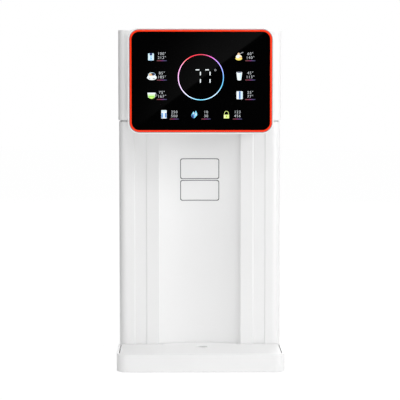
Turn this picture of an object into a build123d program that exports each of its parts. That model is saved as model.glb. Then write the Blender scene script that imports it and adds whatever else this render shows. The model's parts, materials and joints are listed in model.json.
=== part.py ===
from build123d import *
import os

# Countertop hot water dispenser. Millimetres, +Z up, front towards -Y, origin on the counter.

# Overall sizes
BODY_WIDTH = 190.0
BODY_HEIGHT = 391.0
BODY_DEPTH = 86.0
PANEL_REACH = 80.0
TRAY_REACH = 79.0
TANK_DEPTH = 72.0
TANK_GAP = 1.0
HEAD_PROUD = 0.8
SHELL_WALL = 2.5
CORNER_RADIUS = 10.0
REAR_CORNER_RADIUS = 8.0
TOP_RADIUS = 1.2
SEAM_GAP = 0.5
SEAM_GROOVE = 1.6
SEAM_TONGUE = 3.0
SEAM_TONGUE_WALL = 1.5
REAR_SHELL_DEPTH = 40.0

# Clearances and the overrun of cuts
CUT_OVERRUN = 2.0
FIT_GAP = 0.15
RUN_GAP = 0.4
SHAFT_GAP = 0.05
POINT_TOLERANCE = 0.01

# Base and feet
FOOT_DROP = 1.5
BASE_THICKNESS = 6.0
BASE_LIP_HEIGHT = 4.0
BASE_LIP_WALL = 2.0
BASE_LIP_LENGTH = 7.0
TONGUE_GAP = 1.0
FOOT_RADIUS = 8.0
FOOT_SOCKET = 1.5
FOOT_INSET = 16.0
BASE_SLOTS = 9
BASE_SLOT_WIDTH = 3.0
BASE_SLOT_LENGTH = 36.0
BASE_SLOT_PITCH = 8.0
BASE_SKIN = 2.5
BASE_RIB = 2.5
BASE_POCKET_PITCH = 28.0
BASE_POCKET_ROWS = 3
BASE_POCKET_COLUMNS = 5

# Front cover
COLUMN_WIDTH = 47.5
NICHE_DEPTH = 14.0
NICHE_LIP = 3.0
NICHE_EDGE_RADIUS = 1.2
FLUTE_INSET = 17.6
FLUTE_WIDTH = 15.2
FLUTE_DEPTH = 1.0
FLUTE_SLOPE = 1.3

# Head and control panel
PANEL_INSET = 12.8
PANEL_HEIGHT = 119.1
PANEL_DROP = 13.5
PANEL_RADIUS = 13.0
RIM_WALL = 2.0
RIM_SETBACK = 0.8
RIM_EDGE_RADIUS = 0.7
TRIM_WIDTH = 2.15
TRIM_DEPTH = 7.0
TRIM_LIP = 1.5
TRIM_CHAMFER = 0.6
GLASS_THICKNESS = 3.0
GLASS_SETBACK = 0.3
LEDGE_WIDTH = 4.0
LEDGE_THICKNESS = 2.0
MASK_FLANGE_THICKNESS = 4.0
MASK_FLANGE_GAP = 1.0
BOARD_THICKNESS = 1.6
DISPLAY_BOARD_INSET = 5.0
WINDOW_WIDTH = 24.0
WINDOW_HEIGHT = 12.0
DIGIT_WIDTH = 30.0
DIGIT_HEIGHT = 18.0
DIGIT_INSET = 1.0
LED_SIZE = 3.0
LED_HEIGHT = 1.4
RING_RADIUS = 26.4
RING_WALL = 1.8
RING_GROOVE_DEPTH = 4.0
KEY_COLUMN_SHARE = 0.318
KEY_ROW_SHARES = (0.234, 0.038, -0.164)
LOWER_KEY_COLUMN_SHARE = 0.227
LOWER_KEY_ROW_SHARE = -0.361
RING_HEIGHT_SHARE = 0.038

# Outlet in the head
NOZZLE_REACH = 42.0
NOZZLE_RADIUS = 8.0
NOZZLE_BORE_RADIUS = 4.0
NOZZLE_FLANGE_RADIUS = 15.0
NOZZLE_FLANGE_THICKNESS = 2.5
NOZZLE_SOCKET_DEPTH = 10.0
NOZZLE_RECESS = 0.5
SEAL_THICKNESS = 2.0
OUTLET_RADIUS = 5.0
SEPARATOR_WIDTH = 50.0
SEPARATOR_DEPTH = 36.0
SEPARATOR_HEIGHT = 44.0
SEPARATOR_WALL = 2.0
SEPARATOR_LEG = 24.0
SEPARATOR_LEG_RADIUS = 3.0
SEPARATOR_LID_THICKNESS = 3.0
SEPARATOR_INLET_DROP = 12.0

# Drip tray
TRAY_TOP = 20.9
TRAY_BOTTOM = 0.5
TRAY_PROUD = 1.0
TRAY_WALL = 2.4
TRAY_SKIRT_WALL = 3.4
TRAY_FLOOR = 2.0
TRAY_GAP = 0.5
TRAY_CORNER_RADIUS = 12.0
TRAY_EDGE_RADIUS = 1.2
TRAY_RIM_RADIUS = 0.6
TRAY_LEDGE_REACH = 6.0
TRAY_LEDGE_LENGTH = 10.0
PLATE_THICKNESS = 2.0
PLATE_GAP = 1.0
PLATE_EDGE_RADIUS = 0.5
PLATE_HOLE_RADIUS = 6.5
PLATE_HOLE_BEVEL = 0.8
PLATE_HOLE_X = 2.5
PLATE_HOLE_REACH = 20.0

# Hoses and barbs
BARB_RADIUS = 3.5
BARB_BORE_RADIUS = 2.2
BARB_LENGTH = 10.0
HOSE_WALL = 1.5
CLIP_WALL = 0.8
CLIP_LENGTH = 5.0
HOSE_BEND_RADIUS = 16.0

# Pump, lying on the base behind the left column
PUMP_INSET = 33.0
PUMP_MOUNT_HEIGHT = 3.0
PUMP_MOUNT_WIDTH = 24.0
PUMP_HEAD_RADIUS = 17.0
PUMP_HEAD_LENGTH = 16.0
PUMP_CHAMBER_RADIUS = 13.0
PUMP_CHAMBER_LENGTH = 8.0
PUMP_MOTOR_RADIUS = 15.0
PUMP_MOTOR_LENGTH = 38.0
PUMP_BACK_ROOM = 16.0
IMPELLER_GAP = 1.0
IMPELLER_HUB_RADIUS = 4.0
IMPELLER_BLADE_WIDTH = 1.6
IMPELLER_BLADES = 6
PUMP_SHAFT_RADIUS = 1.5
PUMP_SHAFT_LENGTH = 20.0

# Flow meter above the pump
METER_LIFT = 26.0
METER_RADIUS = 12.0
METER_LENGTH = 32.0
METER_BORE_RADIUS = 8.5
METER_CAP = 4.0
TURBINE_BLADES = 4
TURBINE_BLADE_WIDTH = 1.4
TURBINE_HUB_RADIUS = 2.5
TURBINE_PIN_RADIUS = 0.9
TURBINE_LENGTH = 14.0
TURBINE_PIN_DEPTH = 2.0
METER_PORT_SPREAD = 5.0
METER_PORT_RADIUS = 2.0

# Heater above the flow meter
HEATER_LIFT = 26.0
HEATER_RADIUS = 18.0
HEATER_WALL = 1.5
OUTLET_RISE = 73.0
HEATER_CAP_LENGTH = 8.0
HEATER_CAP_RADIUS = 19.0
BRACKET_WALL = 2.0
BRACKET_HEIGHT = 12.0
BRACKET_WEB = 8.0
BRACKET_WRAP = 6.0
BRACKET_SHARES = (0.22, 0.78)
CUTOUT_RADIUS = 7.0
CUTOUT_THICKNESS = 6.0
CUTOUT_PAD = 2.0
CUTOUT_SHARES = (0.3, 0.7)
PROBE_RADIUS = 3.0
PROBE_LENGTH = 14.0
PROBE_OFFSET = 11.0

# Water tank and its cradle
CRADLE_HEADROOM = 3.0
CRADLE_SETBACK = 3.0
CRADLE_INSET = 3.0
CRADLE_RIM_HEIGHT = 4.0
TANK_INSET = 6.0
TANK_DROP = 61.0
TANK_WALL = 2.4
TANK_CORNER_RADIUS = 16.0
TANK_FRONT_RADIUS = 5.0
TANK_FOOT_RADIUS = 1.8
TANK_COLLAR_RADIUS = 14.0
TANK_COLLAR_HEIGHT = 14.0
VALVE_RADIUS = 10.0
VALVE_SKIN = 1.2
VALVE_SLIT = 0.6
DOCK_RADIUS = 5.0
DOCK_BORE_RADIUS = 3.0
DOCK_RISE = 10.0
DOCK_FLANGE_RADIUS = 10.0
DOCK_FLANGE_THICKNESS = 2.0
COVER_THICKNESS = 4.0
COVER_SKIRT = 6.0
COVER_EDGE_RADIUS = 1.5
FILL_INSET = 40.0
FILL_DEPTH = 36.0
FILL_RADIUS = 8.0
LID_THICKNESS = 3.0
LID_OVERLAP = 6.0
LID_EDGE_RADIUS = 0.8
LID_TAB_WIDTH = 24.0
LID_TAB_REACH = 5.0
LID_BARREL_RADIUS = 3.5
LID_BARREL_LENGTH = 30.0
LID_PIN_RADIUS = 1.5
LID_EAR_WIDTH = 5.0
LID_SPREAD_SHARE = 0.29
LID_PLUG_GAP = 1.0

# Electrics
MAIN_BOARD_INSET = 53.0
MAIN_BOARD_DROP = 111.5
MAIN_BOARD_WIDTH = 76.0
MAIN_BOARD_HEIGHT = 120.0
BOSS_HEIGHT = 6.0
BOSS_RADIUS = 4.0
BOSS_INSET = 6.0
BOARD_SCREW_RADIUS = 1.5
BOARD_SCREW_HEAD_RADIUS = 2.8
BOARD_SCREW_HEAD = 1.8
BOARD_SCREW_LENGTH = 5.0
TRANSFORMER_SIZE = 26.0
TRANSFORMER_HEIGHT = 22.0
RELAY_WIDTH = 20.0
RELAY_DEPTH = 15.0
RELAY_HEIGHT = 16.0
CAPACITOR_RADIUS = 6.0
CAPACITOR_HEIGHT = 18.0
CONNECTOR_WIDTH = 16.0
CONNECTOR_HEIGHT = 7.0
TRANSFORMER_SHARES = (-0.2, -0.28)
RELAY_ACROSS_SHARE = -0.22
RELAY_UP_SHARES = (0.02, 0.2)
CAPACITOR_ACROSS_SHARE = 0.2
CAPACITOR_UP_SHARES = (-0.36, -0.2)
CONNECTOR_ACROSS_SHARES = (-0.24, 0.24)
CONNECTOR_UP_SHARE = 0.4
SINK_SHARES = (0.2, 0.12)
SINK_WIDTH = 32.0
SINK_LENGTH = 34.0
SINK_BASE = 3.0
SINK_FIN_HEIGHT = 14.0
SINK_FIN_WIDTH = 1.6
SINK_FINS = 6
RIBBON_WIDTH = 12.0
RIBBON_THICKNESS = 0.8
RIBBON_BEND_RADIUS = 6.0
RIBBON_LEVEL = 18.0
RIBBON_DROP_REACH = 22.0
GLAND_INSET = 40.0
GLAND_RADIUS = 7.0
GLAND_BORE_RADIUS = 3.7
GLAND_FLANGE_RADIUS = 10.0
GLAND_FLANGE_THICKNESS = 2.0
GLAND_INSIDE = 10.0
SWITCH_INSET = 55.0
SWITCH_WIDTH = 21.0
SWITCH_HEIGHT = 15.0
SWITCH_FLANGE = 1.5
SWITCH_BODY_DEPTH = 14.0
SWITCH_WALL = 2.0
ROCKER_HALF = 7.0
ROCKER_RISE = 3.2
ROCKER_VALLEY = 1.6
ROCKER_KEEL = 4.0
ROCKER_PIN_RADIUS = 1.2
ROCKER_TILT = 10.0

# Screws that hold the shells together, and the ones under the base
SCREW_RADIUS = 1.6
SCREW_HEAD_RADIUS = 3.2
SCREW_HEAD = 2.4
SCREW_GRIP = 10.0
POST_RADIUS = 4.5
POST_INSET = 8.0
POST_DROPS = (14.0, 34.0)
BASE_SCREW_INSET = 8.0
BASE_SCREW_REACH = 14.0
SCREW_BLOCK_WIDTH = 10.0
SCREW_BLOCK_HEIGHT = 12.0
VENT_SLOTS = 13
VENT_WIDTH = 3.0
VENT_LENGTH = 16.0
VENT_PITCH = 9.0
VENT_DROP = 24.0
HOSE_HOLE_GAP = 1.5

# Planes and levels worked out from the sizes above
SIDE_X = BODY_WIDTH / 2
HEAD_X = SIDE_X + HEAD_PROUD
TRAY_X = SIDE_X + TRAY_PROUD
NICHE_WIDTH = BODY_WIDTH - 2 * COLUMN_WIDTH
FLUTE_OUTER_X = SIDE_X - FLUTE_INSET
FLUTE_INNER_X = FLUTE_OUTER_X - FLUTE_WIDTH
PANEL_WIDTH = BODY_WIDTH - 2 * PANEL_INSET
SEAM_HEIGHT = BODY_HEIGHT - PANEL_HEIGHT + PANEL_DROP
BACK_Y = (PANEL_REACH + BODY_DEPTH + TANK_GAP + TANK_DEPTH) / 2
BODY_REAR_Y = BACK_Y - TANK_DEPTH - TANK_GAP
INNER_REAR_Y = BODY_REAR_Y - SHELL_WALL
FRONT_Y = BODY_REAR_Y - BODY_DEPTH
INNER_FRONT_Y = FRONT_Y + FLUTE_DEPTH + SHELL_WALL
PANEL_FRONT_Y = FRONT_Y - PANEL_REACH
HEAD_FRONT_Y = FRONT_Y - HEAD_PROUD
TRAY_FRONT_Y = FRONT_Y - TRAY_REACH
PARTING_Y = BODY_REAR_Y - REAR_SHELL_DEPTH
BASE_TOP = FOOT_DROP + BASE_THICKNESS
PANEL_Z = BODY_HEIGHT - PANEL_HEIGHT / 2
HEAD_FLOOR_Z = BODY_HEIGHT - PANEL_HEIGHT + RIM_WALL
TRAY_HOLLOW_Z = BASE_TOP + RUN_GAP
TRAY_FLOOR_Z = TRAY_HOLLOW_Z + TRAY_FLOOR
PLATE_Z = TRAY_TOP - PLATE_THICKNESS
TONGUE_X = SIDE_X - SHELL_WALL - FIT_GAP
TONGUE_FRONT_Y = INNER_FRONT_Y + FIT_GAP
TONGUE_RADIUS = CORNER_RADIUS - SHELL_WALL - FIT_GAP
NOZZLE_Y = FRONT_Y - NOZZLE_REACH
HOSE_RADIUS = BARB_RADIUS + HOSE_WALL
OPENING_WIDTH = PANEL_WIDTH - 2 * RIM_WALL
OPENING_HEIGHT = PANEL_HEIGHT - 2 * RIM_WALL
RIM_Y = PANEL_FRONT_Y + RIM_SETBACK
GLASS_BACK_Y = PANEL_FRONT_Y + GLASS_SETBACK + GLASS_THICKNESS
LEDGE_Y = PANEL_FRONT_Y + TRIM_DEPTH
MASK_FLANGE_Y = LEDGE_Y + LEDGE_THICKNESS
DISPLAY_BOARD_Y = MASK_FLANGE_Y + MASK_FLANGE_THICKNESS
GLASS_INSET = FIT_GAP + TRIM_WIDTH + FIT_GAP
GLASS_WIDTH = OPENING_WIDTH - 2 * GLASS_INSET
GLASS_HEIGHT = OPENING_HEIGHT - 2 * GLASS_INSET
RING_Z = PANEL_Z + RING_HEIGHT_SHARE * GLASS_HEIGHT
PUMP_X = PUMP_INSET - SIDE_X
PUMP_Z = BASE_TOP + PUMP_MOUNT_HEIGHT + PUMP_HEAD_RADIUS
PUMP_BACK_Y = INNER_REAR_Y - PUMP_BACK_ROOM
PUMP_JOINT_Y = PUMP_BACK_Y - PUMP_HEAD_LENGTH
COLUMN_Y = PUMP_BACK_Y - PUMP_HEAD_LENGTH / 2
PUMP_PORT_Z = PUMP_Z + PUMP_HEAD_RADIUS
METER_Z = PUMP_PORT_Z + METER_LIFT
METER_TOP_Z = METER_Z + METER_LENGTH
HEATER_Z = METER_TOP_Z + HEATER_LIFT
HEATER_BODY_Z = HEATER_Z + HEATER_CAP_LENGTH
SEPARATOR_Z = HEAD_FLOOR_Z + SEPARATOR_LEG
SEPARATOR_TOP_Z = SEPARATOR_Z + SEPARATOR_HEIGHT
SEPARATOR_INLET_Z = SEPARATOR_TOP_Z - SEPARATOR_INLET_DROP
HEATER_TOP_Z = SEPARATOR_INLET_Z - OUTLET_RISE
HEATER_BODY_TOP_Z = HEATER_TOP_Z - HEATER_CAP_LENGTH
HEATER_LENGTH = HEATER_BODY_TOP_Z - HEATER_BODY_Z
CRADLE_TOP = PUMP_Z + HOSE_RADIUS + CLIP_WALL + CRADLE_HEADROOM + SHELL_WALL
CRADLE_REAR_Y = BACK_Y - CRADLE_SETBACK
TANK_FRONT_Y = BODY_REAR_Y + TANK_GAP
TANK_HALF = SIDE_X - TANK_INSET
TANK_TOP = BODY_HEIGHT - TANK_DROP
TANK_MIDDLE_Y = (TANK_FRONT_Y + BACK_Y) / 2
COVER_Z = TANK_TOP + COVER_THICKNESS
LID_AXIS_Z = COVER_Z + LID_BARREL_RADIUS
FILL_WIDTH = BODY_WIDTH - 2 * FILL_INSET
FILL_REAR_Y = TANK_MIDDLE_Y + FILL_DEPTH / 2
LID_PIN_SPREAD = LID_SPREAD_SHARE * FILL_WIDTH
LID_AXIS_Y = FILL_REAR_Y + LID_OVERLAP + LID_BARREL_RADIUS
MAIN_BOARD_X = SIDE_X - MAIN_BOARD_INSET
MAIN_BOARD_Z = SEAM_HEIGHT - MAIN_BOARD_DROP
MAIN_BOARD_Y = INNER_REAR_Y - BOSS_HEIGHT
MAIN_BOARD_FACE_Y = MAIN_BOARD_Y - BOARD_THICKNESS
GLAND_X = SIDE_X - GLAND_INSET
SWITCH_X = SWITCH_INSET - SIDE_X
SWITCH_PIVOT_Y = CRADLE_REAR_Y - SWITCH_WALL
SWITCH_Z = (BASE_TOP + CRADLE_TOP) / 2
POST_X = SIDE_X - POST_INSET
BASE_SCREW_X = SIDE_X - SHELL_WALL - BASE_SCREW_INSET
UPPER_POST_Z = BODY_HEIGHT - POST_DROPS[0]
LOWER_POST_Z = SEAM_HEIGHT - POST_DROPS[1]


def block(x, y, z):
    """A box between two limits along each axis."""
    size = [limits[1] - limits[0] for limits in (x, y, z)]
    middle = [(limits[0] + limits[1]) / 2 for limits in (x, y, z)]
    return Pos(*middle) * Box(*size)


def rod(axis, across, limits, radius):
    """A cylinder along X, Y or Z between two limits, at a place on the other two axes."""
    middle = (limits[0] + limits[1]) / 2
    places = {
        "X": (middle, across[0], across[1]),
        "Y": (across[0], middle, across[1]),
        "Z": (across[0], across[1], middle),
    }
    turns = {"X": Rot(0, 90, 0), "Y": Rot(-90, 0, 0), "Z": Rot(0, 0, 0)}
    return Pos(*places[axis]) * turns[axis] * Cylinder(radius, limits[1] - limits[0])


def tube(axis, across, limits, radius, bore_radius):
    """A cylinder with a bore right through it."""
    bore_limits = (limits[0] - CUT_OVERRUN, limits[1] + CUT_OVERRUN)
    return rod(axis, across, limits, radius) - rod(axis, across, bore_limits, bore_radius)


def plan_outline(half_width, y, front_radius=0, rear_radius=0):
    """A rectangle seen from above, with its own corner radius at the front and at the rear."""
    outline = Pos(0, (y[0] + y[1]) / 2) * Rectangle(2 * half_width, y[1] - y[0])
    if front_radius:
        outline = fillet(outline.vertices().group_by(Axis.Y)[0], front_radius)
    if rear_radius:
        outline = fillet(outline.vertices().group_by(Axis.Y)[-1], rear_radius)
    return outline


def prism(outline, z):
    """An outline seen from above, raised between two levels."""
    return extrude(Pos(0, 0, z[0]) * outline, z[1] - z[0])


def panel_slab(inset, y):
    """The control panel's rounded rectangle, drawn in by an inset, between two depths."""
    face = Plane(origin=(0, y[1], PANEL_Z), x_dir=(1, 0, 0), z_dir=(0, -1, 0))
    width = PANEL_WIDTH - 2 * inset
    height = PANEL_HEIGHT - 2 * inset
    radius = max(PANEL_RADIUS - inset, RIM_WALL)
    return extrude(face * RectangleRounded(width, height, radius), y[1] - y[0])


def niche_outline(margin):
    """The niche seen from above, grown by a margin: two straight lips and a shallow arc between them."""
    half = NICHE_WIDTH / 2 + margin
    lip_y = FRONT_Y + NICHE_LIP + margin
    deep_y = FRONT_Y + NICHE_DEPTH + margin
    open_y = FRONT_Y - NICHE_DEPTH
    sides = Polyline((-half, lip_y), (-half, open_y), (half, open_y), (half, lip_y))
    hollow = ThreePointArc((half, lip_y), (0, deep_y), (-half, lip_y))
    return make_face(sides.edges() + hollow.edges())


def flute_outline(side):
    """One column's flute seen from above, with sloping walls."""
    points = (
        (FLUTE_INNER_X, FRONT_Y - FLUTE_DEPTH),
        (FLUTE_INNER_X, FRONT_Y),
        (FLUTE_INNER_X + FLUTE_SLOPE, FRONT_Y + FLUTE_DEPTH),
        (FLUTE_OUTER_X - FLUTE_SLOPE, FRONT_Y + FLUTE_DEPTH),
        (FLUTE_OUTER_X, FRONT_Y),
        (FLUTE_OUTER_X, FRONT_Y - FLUTE_DEPTH),
    )
    return make_face(Polyline(*[(side * x, y) for x, y in points], close=True))


def post_places(z):
    """The left and right screw posts at one height."""
    return [(-POST_X, z), (POST_X, z)]


def board_boss_places():
    """The four corners where the main board is screwed down."""
    across = MAIN_BOARD_WIDTH / 2 - BOSS_INSET
    up = MAIN_BOARD_HEIGHT / 2 - BOSS_INSET
    corners = [(sx * across, sz * up) for sx in (-1, 1) for sz in (-1, 1)]
    return [(MAIN_BOARD_X + x, MAIN_BOARD_Z + z) for x, z in corners]


def screw_hole(place):
    """The shank hole of one case screw through a rear shell post, with room for the screw's head."""
    rear = BODY_REAR_Y + CUT_OVERRUN
    shank = rod("Y", place, (PARTING_Y - CUT_OVERRUN, rear), SCREW_RADIUS + FIT_GAP)
    return shank + rod("Y", place, (PARTING_Y + SCREW_GRIP, rear), SCREW_HEAD_RADIUS + FIT_GAP)


def base_screw_rows():
    """How far forward the front and rear pair of base screws sit."""
    return (FRONT_Y + BASE_SCREW_REACH, INNER_REAR_Y - BASE_SCREW_REACH)


def screw_block(side, y):
    """A block inside a side wall that takes one base screw."""
    half = SCREW_BLOCK_WIDTH / 2
    x = sorted((side * (BASE_SCREW_X - half), side * (SIDE_X - SHELL_WALL / 2)))
    solid = block(x, (y - half, y + half), (BASE_TOP, BASE_TOP + SCREW_BLOCK_HEIGHT))
    hole_z = (BASE_TOP - CUT_OVERRUN, BASE_TOP + SCREW_GRIP)
    return solid - rod("Z", (side * BASE_SCREW_X, y), hole_z, SCREW_RADIUS)


def rear_shell():
    """The back half of the body: back wall, side walls and top, with posts, bosses and vents."""
    walls = plan_outline(SIDE_X, (PARTING_Y, BODY_REAR_Y), 0, REAR_CORNER_RADIUS)
    shell = prism(walls, (BASE_TOP, BODY_HEIGHT))
    top_edges = shell.edges().group_by(Axis.Z)[-1].sort_by(Axis.Y)[1:]
    shell = fillet(top_edges, TOP_RADIUS)
    inner_radius = REAR_CORNER_RADIUS - SHELL_WALL
    hollow = plan_outline(SIDE_X - SHELL_WALL, (PARTING_Y - CUT_OVERRUN, INNER_REAR_Y), 0, inner_radius)
    shell -= prism(hollow, (BASE_TOP - CUT_OVERRUN, BODY_HEIGHT - SHELL_WALL))
    for z in (UPPER_POST_Z, LOWER_POST_Z):
        for place in post_places(z):
            shell += rod("Y", place, (PARTING_Y, INNER_REAR_Y), POST_RADIUS)
            shell -= screw_hole(place)
    for place in board_boss_places():
        shell += rod("Y", place, (MAIN_BOARD_Y, INNER_REAR_Y), BOSS_RADIUS)
        shell -= rod("Y", place, (MAIN_BOARD_Y - CUT_OVERRUN, INNER_REAR_Y), BOARD_SCREW_RADIUS)
    for side in (-1, 1):
        shell += screw_block(side, base_screw_rows()[1])
    wall = (INNER_REAR_Y - CUT_OVERRUN, BODY_REAR_Y + CUT_OVERRUN)
    shell -= rod("Y", (PUMP_X, PUMP_Z), wall, HOSE_RADIUS + HOSE_HOLE_GAP)
    level = BODY_HEIGHT - VENT_DROP
    slot_half = (VENT_LENGTH - VENT_WIDTH) / 2
    for number in range(VENT_SLOTS):
        x = (number - (VENT_SLOTS - 1) / 2) * VENT_PITCH
        shell -= block((x - VENT_WIDTH / 2, x + VENT_WIDTH / 2), wall, (level - slot_half, level + slot_half))
        for z in (level - slot_half, level + slot_half):
            shell -= rod("Y", (x, z), wall, VENT_WIDTH / 2)
    return shell


def front_cover():
    """The lower front: two fluted columns with rounded outer corners and the niche between them."""
    outer = plan_outline(SIDE_X, (FRONT_Y, PARTING_Y - SEAM_GAP), CORNER_RADIUS)
    outer -= flute_outline(-1)
    outer -= flute_outline(1)
    outer -= niche_outline(0)
    corners = [vertex for vertex in outer.vertices() if abs(vertex.Y - FRONT_Y) < POINT_TOLERANCE]
    lips = [vertex for vertex in corners if abs(abs(vertex.X) - NICHE_WIDTH / 2) < POINT_TOLERANCE]
    outer = fillet(lips, NICHE_EDGE_RADIUS)
    inner_radius = CORNER_RADIUS - SHELL_WALL
    hollow = plan_outline(SIDE_X - SHELL_WALL, (INNER_FRONT_Y, PARTING_Y), inner_radius)
    hollow -= niche_outline(SHELL_WALL)
    cover = prism(outer - hollow, (BASE_TOP, SEAM_HEIGHT - SEAM_GROOVE))
    for side in (-1, 1):
        cover += screw_block(side, base_screw_rows()[0])
    for place in post_places(LOWER_POST_Z):
        post = rod("Y", place, (INNER_FRONT_Y, PARTING_Y), POST_RADIUS)
        cover += post - rod("Y", place, (PARTING_Y - SCREW_GRIP, PARTING_Y + CUT_OVERRUN), SCREW_RADIUS)
    return cover


def tongue_outline(inset, rear):
    """The tongue behind the seam, seen from above and drawn in by an inset."""
    return plan_outline(TONGUE_X - inset, (TONGUE_FRONT_Y + inset, rear), TONGUE_RADIUS - inset)


def seam_tongue():
    """The rib under each shoulder that steps behind the front cover and closes the groove of the seam."""
    inside = tongue_outline(SEAM_TONGUE_WALL, PARTING_Y)
    ring = tongue_outline(0, PARTING_Y - SEAM_GAP) - inside
    ring -= plan_outline(PANEL_WIDTH / 2 - RIM_WALL, (FRONT_Y, PARTING_Y))
    return prism(ring, (SEAM_HEIGHT - SEAM_GROOVE - SEAM_TONGUE, SEAM_HEIGHT + SHELL_WALL))


def head_housing():
    """The upper housing: shoulders, top and the raised box that carries the control panel."""
    shoulders = plan_outline(HEAD_X, (HEAD_FRONT_Y, PARTING_Y - SEAM_GAP), CORNER_RADIUS)
    head = prism(shoulders, (SEAM_HEIGHT, BODY_HEIGHT))
    head = fillet(head.edges().group_by(Axis.Z)[-1].sort_by(Axis.Y)[:-1], TOP_RADIUS)
    raised = panel_slab(0, (RIM_Y, FRONT_Y - SEAM_GAP))
    head += fillet(raised.faces().sort_by(Axis.Y)[0].edges(), RIM_EDGE_RADIUS)
    hollow_y = (HEAD_FRONT_Y + SHELL_WALL, PARTING_Y)
    hollow = plan_outline(HEAD_X - SHELL_WALL, hollow_y, CORNER_RADIUS - SHELL_WALL)
    head -= prism(hollow, (SEAM_HEIGHT + SHELL_WALL, BODY_HEIGHT - SHELL_WALL))
    passage = tongue_outline(SEAM_TONGUE_WALL, PARTING_Y)
    head -= prism(passage, (SEAM_HEIGHT - CUT_OVERRUN, SEAM_HEIGHT + SHELL_WALL + CUT_OVERRUN))
    head += seam_tongue()
    head -= panel_slab(RIM_WALL, (RIM_Y - CUT_OVERRUN, TONGUE_FRONT_Y + SEAM_TONGUE_WALL + CUT_OVERRUN))
    head += prism(niche_outline(-SEAM_GAP), (HEAD_FLOOR_Z - RIM_WALL, HEAD_FLOOR_Z))
    ledge_y = (LEDGE_Y, LEDGE_Y + LEDGE_THICKNESS)
    cut_y = (LEDGE_Y - CUT_OVERRUN, LEDGE_Y + LEDGE_THICKNESS + CUT_OVERRUN)
    head += panel_slab(RIM_WALL, ledge_y) - panel_slab(RIM_WALL + LEDGE_WIDTH, cut_y)
    floor_z = (HEAD_FLOOR_Z - RIM_WALL - CUT_OVERRUN, HEAD_FLOOR_Z + CUT_OVERRUN)
    head -= rod("Z", (0, NOZZLE_Y), floor_z, NOZZLE_RADIUS + FIT_GAP)
    for place in post_places(UPPER_POST_Z):
        post = rod("Y", place, (HEAD_FRONT_Y + SHELL_WALL, PARTING_Y), POST_RADIUS)
        head += post - rod("Y", place, (PARTING_Y - SCREW_GRIP, PARTING_Y + CUT_OVERRUN), SCREW_RADIUS)
    return head


def trim_ring():
    """The coloured frame round the glass, with a step behind that carries the glass."""
    depth = (PANEL_FRONT_Y, LEDGE_Y)
    ring = panel_slab(RIM_WALL + FIT_GAP, depth)
    ring = chamfer(ring.faces().sort_by(Axis.Y)[0].edges(), TRIM_CHAMFER)
    glass_seat = (PANEL_FRONT_Y - CUT_OVERRUN, GLASS_BACK_Y)
    ring -= panel_slab(RIM_WALL + FIT_GAP + TRIM_WIDTH, glass_seat)
    through = (PANEL_FRONT_Y, LEDGE_Y + CUT_OVERRUN)
    return ring - panel_slab(RIM_WALL + FIT_GAP + TRIM_WIDTH + TRIM_LIP, through)


def touch_glass():
    """The black glass with the touch keys behind it."""
    return panel_slab(RIM_WALL + GLASS_INSET, (PANEL_FRONT_Y + GLASS_SETBACK, GLASS_BACK_Y))


def key_places():
    """The middles of the nine lit fields on the panel."""
    places = []
    for side in (-1, 1):
        for share in KEY_ROW_SHARES:
            places.append((side * KEY_COLUMN_SHARE * GLASS_WIDTH, PANEL_Z + share * GLASS_HEIGHT))
    for step in (-1, 0, 1):
        lower_z = PANEL_Z + LOWER_KEY_ROW_SHARE * GLASS_HEIGHT
        places.append((step * LOWER_KEY_COLUMN_SHARE * GLASS_WIDTH, lower_z))
    return places


def window(place, width, height, y):
    """A rectangular block in front view, between two depths."""
    x_limits = (place[0] - width / 2, place[0] + width / 2)
    z_limits = (place[1] - height / 2, place[1] + height / 2)
    return block(x_limits, y, z_limits)


def light_mask():
    """The moulded frame that keeps the light of one field out of the next."""
    front_inset = RIM_WALL + GLASS_INSET + TRIM_LIP + FIT_GAP
    mask = panel_slab(front_inset, (GLASS_BACK_Y + FIT_GAP, MASK_FLANGE_Y))
    mask += panel_slab(RIM_WALL + MASK_FLANGE_GAP, (MASK_FLANGE_Y, DISPLAY_BOARD_Y))
    through = (GLASS_BACK_Y - CUT_OVERRUN, DISPLAY_BOARD_Y + CUT_OVERRUN)
    for place in key_places():
        mask -= window(place, WINDOW_WIDTH, WINDOW_HEIGHT, through)
    mask -= window((0, RING_Z), DIGIT_WIDTH, DIGIT_HEIGHT, through)
    groove = (GLASS_BACK_Y - CUT_OVERRUN, GLASS_BACK_Y + FIT_GAP + RING_GROOVE_DEPTH)
    inner = RING_RADIUS - RING_WALL - FIT_GAP
    return mask - tube("Y", (0, RING_Z), groove, RING_RADIUS + FIT_GAP, inner)


def ring_light_guide():
    """The clear ring that carries light round the temperature readout."""
    depth = (GLASS_BACK_Y + FIT_GAP, GLASS_BACK_Y + FIT_GAP + RING_GROOVE_DEPTH)
    return tube("Y", (0, RING_Z), depth, RING_RADIUS, RING_RADIUS - RING_WALL)


def display_board():
    """The circuit board behind the light mask."""
    depth = (DISPLAY_BOARD_Y, DISPLAY_BOARD_Y + BOARD_THICKNESS)
    return panel_slab(RIM_WALL + DISPLAY_BOARD_INSET, depth)


def display_leds():
    """The lamps of the nine fields and the block of the two digits, all standing on the display board."""
    lamp_y = (DISPLAY_BOARD_Y - LED_HEIGHT, DISPLAY_BOARD_Y)
    lamps = [window(place, LED_SIZE, LED_SIZE, lamp_y) for place in key_places()]
    digit_y = (GLASS_BACK_Y + FIT_GAP, DISPLAY_BOARD_Y)
    width = DIGIT_WIDTH - 2 * DIGIT_INSET
    digits = window((0, RING_Z), width, DIGIT_HEIGHT - 2 * DIGIT_INSET, digit_y)
    return Compound(children=lamps + [digits])


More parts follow.
